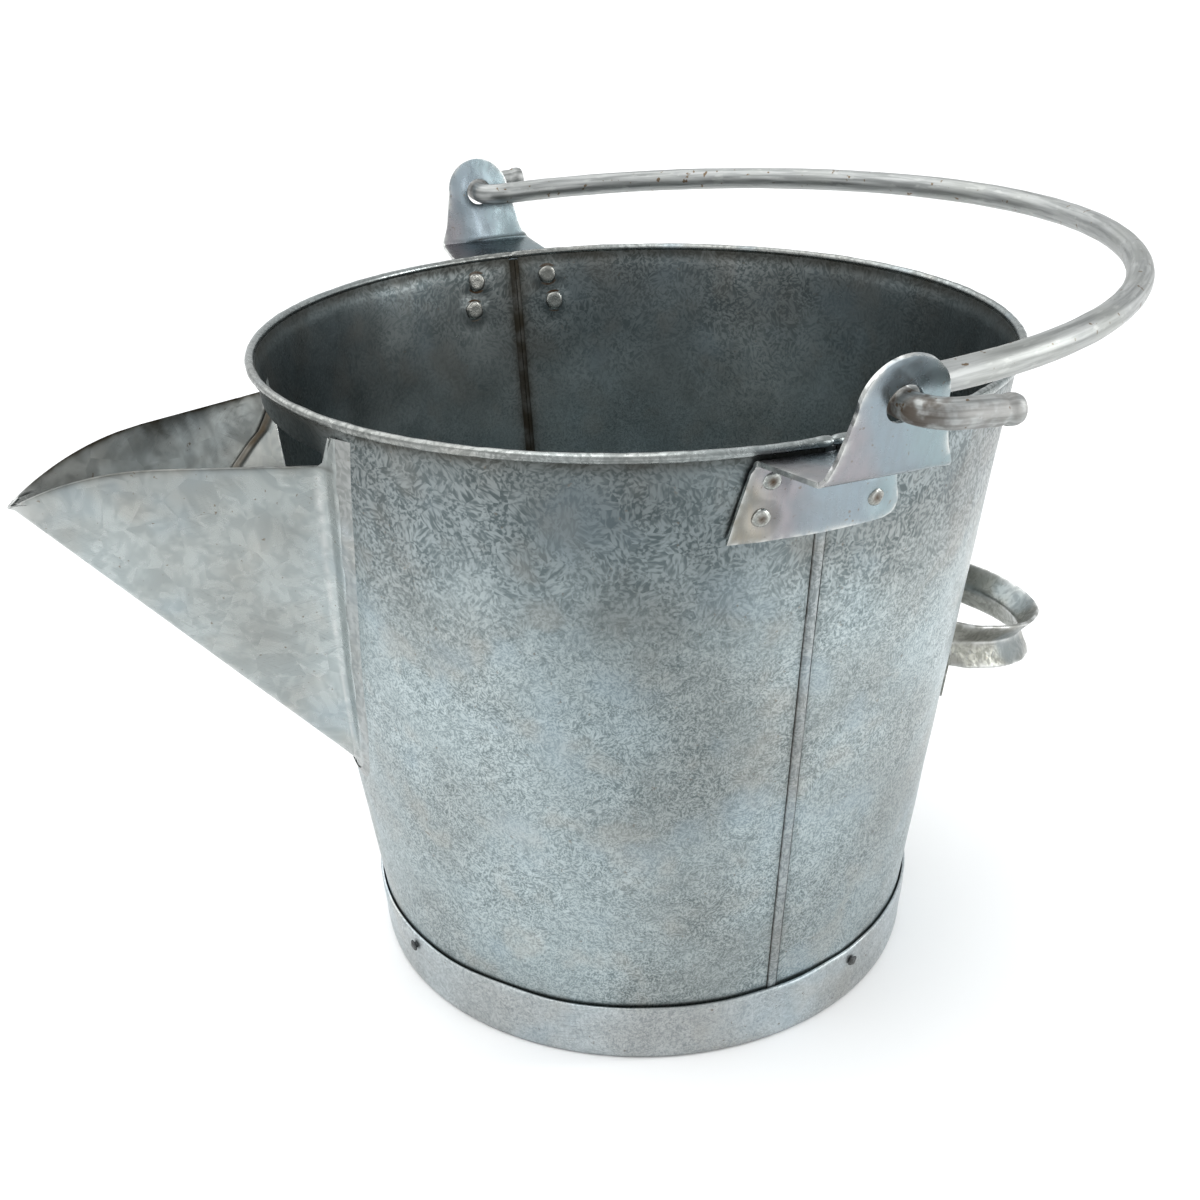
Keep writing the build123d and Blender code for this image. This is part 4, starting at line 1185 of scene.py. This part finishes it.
def zinc(name, light, dark, size, stroke, fine=0.0, rough=0.36, cloud=0.20, band=0.0,
         scratches=0.0, dirt_and_shade=DIRT_AND_SHADE, dirt_and_shade_amount=0.8, spots=0.0):
    """Weathered galvanised sheet with crystals of size and stroke, light and dark ones.

    fine mixes in smaller crystals low down, cloud is the large patches' contrast, and band
    is painted shade that darkens the body's upper part."""
    s = Shader(name)
    crystals = s.spangle(size, stroke)
    if fine:
        small = s.spangle(size * 0.55, stroke * 0.55)
        crystals = s.mix(s.maths("MULTIPLY", s.step(s.z, 235, 165), fine), crystals, small)
    middle = tuple((a + b) / 2 for a, b in zip(dark, light))
    colour = s.mix(crystals, dark, light)
    colour = s.mix(s.blotches(28, 2, 0.38, 0.62, 0.3), colour, middle)
    large = s.noise(62, 3)
    patch = s.noise(21, 2)
    cooler = s.mix(1.0, colour, (0.86, 0.97, 1.05), "MULTIPLY")
    colour = s.mix(s.step(large, 0.35, 0.62, 0, 0.42), colour, cooler)
    colour = s.mix(s.step(patch, 0.52, 0.70, 0, 0.24), colour, WARM)
    colour = s.mix(s.blotches(33, 2, 0.55, 0.72, 0.35), colour, BLUE)
    shade = s.step(large, 0.30, 0.70, 1 - cloud, 1 + cloud * 0.6)
    # Painted shade: the surface darker towards the rim, standing in for the darker reflection
    # there.
    if band:
        height = s.maths("MULTIPLY_ADD", patch, 34, s.z)
        shade = s.maths("MULTIPLY", shade, s.step(height, 196, 262, 1, 1 - band))
    grey = s.add("ShaderNodeCombineColor", Red=shade, Green=shade, Blue=shade).outputs[0]
    colour = s.mix(1.0, colour, grey, "MULTIPLY")
    heights = [(s.noise(38, 1), 0.55), (crystals, 0.010), (s.noise(0.9, 2), 0.012)]
    roughness = s.maths("MULTIPLY_ADD", crystals, -0.10, rough - 0.02)
    roughness = s.maths("MULTIPLY_ADD", s.noise(15, 3), 0.14, roughness)
    if scratches:
        lines = scratch_lines(s, scratches)
        colour = s.mix(lines, colour, (0.20, 0.21, 0.21))
        heights.append((lines, -0.02))
    if spots:
        colour = s.mix(s.blotches(2.2, 2, 0.70, 0.76, spots), colour, (0.16, 0.13, 0.10))
    # Real stains and painted shade, both held on the mesh, darken the colour towards the dark tint.
    patchy = s.maths("MULTIPLY_ADD", s.blotches(10.0, 3, 0.30, 0.62), 0.3, 0.7)
    stain_and_shade = s.maths("MULTIPLY", s.maths("MULTIPLY", s.kept("stain_and_shade"), patchy), dirt_and_shade_amount)
    stain_and_shade = s.maths("MINIMUM", stain_and_shade, 1.0)
    colour = s.mix(stain_and_shade, colour, dirt_and_shade)
    # Rubbed wear and the painted highlight on the spout's folds, both held on the mesh, lighten the
    # colour.
    wear_and_highlight = s.maths("MULTIPLY", s.kept("wear_and_highlight"), s.step(s.noise(6.0, 2), 0.35, 0.60, 0.25, 0.95))
    colour = s.mix(wear_and_highlight, colour, BRIGHT)
    duller = s.maths("MULTIPLY_ADD", stain_and_shade, 0.30, s.maths("MULTIPLY", wear_and_highlight, -0.08))
    return s.surface(colour, s.maths("ADD", roughness, duller), heights)


def bright_zinc(name):
    """Smooth electroplated zinc, pale blue, turning beige and pink towards one side."""
    s = Shader(name)
    drift = s.maths("MULTIPLY_ADD", s.noise(24, 2), 34, s.maths("SUBTRACT", s.x, 17))
    drift = s.maths("MULTIPLY_ADD", s.maths("SUBTRACT", s.z, 250), 0.25, drift)
    colour = s.mix(s.step(drift, -30, -13), (0.31, 0.29, 0.245), (0.265, 0.255, 0.27))
    colour = s.mix(s.step(drift, -14, 0), colour, (0.225, 0.270, 0.300))
    colour = s.mix(s.step(drift, 6, 24, 0, 0.8), colour, (0.230, 0.295, 0.310))
    grain = s.noise(1.0, 2, s.scaled(s.place, (0.55, 0.55, 0.07)))
    colour = s.mix(s.step(grain, 0.42, 0.62, 0, 0.22), colour, (0.20, 0.225, 0.24))
    colour = s.mix(s.blotches(9, 3, 0.50, 0.68, 0.35), colour, (0.205, 0.23, 0.245))
    colour = s.mix(s.blotches(1.6, 1, 0.70, 0.76, 0.7), colour, (0.17, 0.15, 0.13))
    wear_and_highlight = s.maths("MULTIPLY", s.kept("wear_and_highlight"), s.step(s.noise(5.0, 2), 0.35, 0.60, 0.2, 0.9))
    colour = s.mix(wear_and_highlight, colour, (0.58, 0.59, 0.57))
    roughness = s.maths("MULTIPLY_ADD", s.noise(7, 3), 0.22, 0.16)
    heights = [(s.noise(11, 2), 0.25), (grain, 0.015), (s.noise(0.8, 2), 0.008)]
    return s.surface(colour, roughness, heights)


def rod_zinc(name):
    """Dull drawn rod: streaks along its length, rust at the hook's bend and a few specks."""
    s = Shader(name)
    unrolled = s.add(
        "ShaderNodeCombineXYZ", X=s.kept("run"), Y=s.kept("turn_a"), Z=s.kept("turn_b")).outputs[0]
    streaks = s.noise(1.0, 3, s.scaled(unrolled, (0.045, 0.75, 0.75)))
    colour = s.mix(s.step(streaks, 0.30, 0.70), (0.23, 0.24, 0.235), (0.41, 0.42, 0.415))
    colour = s.mix(s.blotches(30, 3, 0.45, 0.66, 0.5), colour, (0.31, 0.32, 0.30))
    chalk = s.noise(1.0, 3, s.scaled(unrolled, (0.16, 0.5, 0.5)))
    colour = s.mix(s.step(chalk, 0.56, 0.70, 0, 0.45), colour, (0.48, 0.49, 0.475))
    colour = s.mix(s.blotches(3.2, 2, 0.665, 0.72, 0.9), colour, (0.13, 0.085, 0.045))
    brown = s.maths("MULTIPLY", s.kept("stain_and_shade"), s.blotches(5, 3, 0.34, 0.60))
    colour = s.mix(s.maths("MULTIPLY", brown, 0.85), colour, RUST)
    roughness = s.maths("MULTIPLY_ADD", streaks, 0.20, 0.34)
    roughness = s.maths("MULTIPLY_ADD", brown, 0.25, roughness)
    heights = [(streaks, 0.05), (s.noise(0.9, 2), 0.02), (chalk, 0.03)]
    return s.surface(colour, roughness, heights, 0.92)


# The floor's painted soft shade round the spot under the camera, which the body reflects, in
# millimetres.
SHADE_MIDDLE = (-229.0, -525.0, 0.0)
SHADE_FROM = 200.0
SHADE_TO = 430.0


def pale_floor(name):
    """A pale sweep of paper with painted soft shade on the photographer's side, and a fine tooth.
    """
    s = Shader(name)
    tooth = s.noise(2.5, 2)
    colour = s.mix(s.blotches(420, 2, 0.3, 0.7), (0.94, 0.94, 0.937), (0.96, 0.96, 0.96))
    away = s.add("ShaderNodeVectorMath", operation="DISTANCE")
    s.feed(away.inputs[0], s.place)
    away.inputs[1].default_value = SHADE_MIDDLE
    shade = s.step(away.outputs["Value"], SHADE_FROM, SHADE_TO, 1, 0)
    colour = s.mix(shade, colour, (0.50, 0.515, 0.52))
    return s.surface(colour, s.maths("MULTIPLY_ADD", tooth, 0.1, 0.75), [(tooth, 0.02)], 0.0)


body_zinc = zinc(
    "galvanised_body", (0.456, 0.496, 0.492), (0.172, 0.205, 0.207), 5.5, 1.25, fine=0.8,
    band=0.46, spots=0.5)
seam_zinc = zinc(
    "galvanised_seam", (0.42, 0.44, 0.435), (0.24, 0.26, 0.26), 4.5, 1.0, band=0.15,
    dirt_and_shade_amount=1.0)
rim_zinc = zinc(
    "galvanised_rim", (0.37, 0.38, 0.365), (0.21, 0.22, 0.21), 6, 1.6, rough=0.30, scratches=0.6)
wire_zinc = zinc(
    "galvanised_wire", (0.36, 0.37, 0.36), (0.21, 0.21, 0.20), 4, 1.0, rough=0.42)
foot_zinc = zinc(
    "galvanised_foot", (0.57, 0.59, 0.585), (0.32, 0.345, 0.35), 5, 1.1, fine=0.5,
    scratches=0.8, spots=0.7)
spout_zinc = zinc(
    "galvanised_spout", (0.405, 0.425, 0.410), (0.325, 0.347, 0.338), 14, 4.5, rough=0.30,
    cloud=0.26, scratches=0.45, spots=0.8, dirt_and_shade_amount=0.7)
solder_metal = zinc(
    "solder", (0.355, 0.36, 0.35), (0.26, 0.27, 0.26), 6, 2.4, rough=0.34, spots=0.9)
tongue_zinc = zinc(
    "galvanised_tongue", (0.42, 0.43, 0.41), (0.30, 0.32, 0.31), 12, 3.5,
    dirt_and_shade=(0.10, 0.075, 0.048), dirt_and_shade_amount=1.0)
handle_zinc = zinc(
    "galvanised_handle", (0.245, 0.245, 0.215), (0.145, 0.145, 0.125), 6, 2.0, rough=0.38,
    scratches=0.7, spots=0.9)
rivet_metal = zinc(
    "rivet_metal", (0.42, 0.42, 0.39), (0.26, 0.26, 0.24), 2.5, 0.7, rough=0.30,
    dirt_and_shade=(0.07, 0.045, 0.028), dirt_and_shade_amount=1.0)
nail_metal = zinc("nail_metal", (0.12, 0.12, 0.12), (0.05, 0.05, 0.05), 2.0, 0.6, rough=0.45)
ear_zinc = bright_zinc("bright_zinc")
bail_zinc = rod_zinc("rod_zinc")


# ---- putting it together ----
def rivets(stem, node, places, grip, heads, seed):
    for number, (angle, z) in enumerate(places, 1):
        made = rivet_piece(f"{stem}_{number}", wall_frame(angle, z), grip, heads, seed + number)
        finish(made, rivet_metal, "pail", "rivet", f"{node}_{number}")


finish(front_panel(), body_zinc, "pail", "galvanised_body", "body_front_panel")
finish(rear_panel(), body_zinc, "pail", "galvanised_body", "body_rear_panel")
for side, word in ((-1, "near"), (1, "far")):
    finish(tongue("spout_tongue_" + word, side), tongue_zinc, "pail", "galvanised_body")
    finish(seam_strip(word + "_seam_fold", side), seam_zinc, "pail", "seam", word + "_side_seam")
    finish(ear(word + "_ear_plate", side), ear_zinc, "pail", "bright_zinc", word + "_ear")
    rivets(
        word + "_ear_rivet_set", word + "_ear_rivet",
        [(ear_rivet_angle(side, x, z), z) for x, z in EAR_RIVETS],
        EAR_STANDOFF + EAR_SHEET - EAR_RIVET_SINK, EAR_RIVET_HEADS, 100 + side * 10)
    rivets(
        f"handle_{word}_rivet_set", f"handle_{word}_rivet",
        [(handle_rivet_angle(side, offset), HANDLE_ROOT_Z) for offset in HANDLE_RIVET_OFFSETS],
        HANDLE_SHEET, HANDLE_RIVET_HEADS, 130 + side * 10)
finish(rim_roll(), rim_zinc, "pail", "rim", "rim_bead")
finish(foot_band(), foot_zinc, "pail", "foot", "foot_ring")
finish(bottom_plate(), body_zinc, "pail", "galvanised_body", "bottom_disc")
finish(spout_sheet(), spout_zinc, "pail", "spout_sheet", "spout")
finish(solder_line(), solder_metal, "pail", "solder", "spout_solder")
finish(handle_strap(), handle_zinc, "pail", "handle", "rear_handle")
for number, angle in enumerate(NAIL_ANGLES, 1):
    place = wall_frame(math.radians(angle), NAIL_Z)
    made = nail_piece(f"foot_clout_{number}", place, 160 + number)
    finish(made, nail_metal, "pail", "nail", f"foot_nail_{number}")
finish(bail_rod(), bail_zinc, "bail", "rod", "bail")
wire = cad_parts["rim_wire"]
wire.data.materials.clear()
wire.data.materials.append(wire_zinc)


# ---- studio ----
def floor_disc():
    profile = [(radius, 0) for radius in (0, 300, 700, 1500, 4000, 12000)]
    made = turned_object("studio_floor", profile, 96, closed=False)
    if made.data.polygons[0].normal.z < 0:
        made.data.flip_normals()
    made.data.materials.append(pale_floor("pale_paper"))
    made.location.z = -0.0003


def aimed(made, direction):
    made.rotation_euler = Vector(direction).to_track_quat("-Z", "Y").to_euler()


def area_light(name, place, target, width, height, power):
    light = bpy.data.lights.new(name, "AREA")
    light.shape = "RECTANGLE"
    light.size, light.size_y = width, height
    light.energy = power
    made = new_object(name, light)
    made.location = place
    aimed(made, Vector(target) - Vector(place))


floor_disc()
area_light("left_softbox", (-1.25, -0.55, 0.45), (0, 0, 0.12), 0.35, 0.9, 1)
area_light("right_softbox", (0.75, -1.15, 0.45), (0, 0, 0.12), 0.22, 0.9, 3.5)
area_light("inner_glint", (1.04, -0.51, 0.60), (-0.05, 0.13, 0.24), 0.14, 0.6, 4)
area_light("mouth_fill", (-0.25, -0.25, 1.0), (0, 0, 0.1), 0.5, 0.5, 1.6)
sun_data = bpy.data.lights.new("overhead_sheet", "SUN")
sun_data.energy = 1.75
sun_data.angle = math.radians(75)
aimed(new_object("overhead_sheet", sun_data), (0.35, -0.55, -1.0))

world = bpy.data.worlds.new("studio_sky")
world.use_nodes = True
background = world.node_tree.nodes["Background"]
background.inputs["Color"].default_value = (0.97, 0.99, 1.0, 1)
background.inputs["Strength"].default_value = 0.86
bpy.context.scene.world = world
bpy.context.scene.view_settings.view_transform = "Standard"

# The camera stands where the photograph was taken from, worked out from the pail's shape.
CAMERA_PLACE = Vector((-0.22927, -0.52528, 0.41919))
CAMERA_RIGHT = Vector((0.92263, -0.38490, -0.02470))
CAMERA_UP = Vector((0.18606, 0.38807, 0.90265))
CAMERA_LENS_PER_SENSOR = 1.23836

camera_data = bpy.data.cameras.new("photo_camera")
camera_data.sensor_width = 36
camera_data.lens = CAMERA_LENS_PER_SENSOR * camera_data.sensor_width
camera_data.dof.use_dof = False
camera = new_object("photo_camera", camera_data)
turned = Matrix((CAMERA_RIGHT, CAMERA_UP, CAMERA_RIGHT.cross(CAMERA_UP))).transposed().to_4x4()
camera.matrix_world = Matrix.Translation(CAMERA_PLACE) @ turned
bpy.context.scene.camera = camera
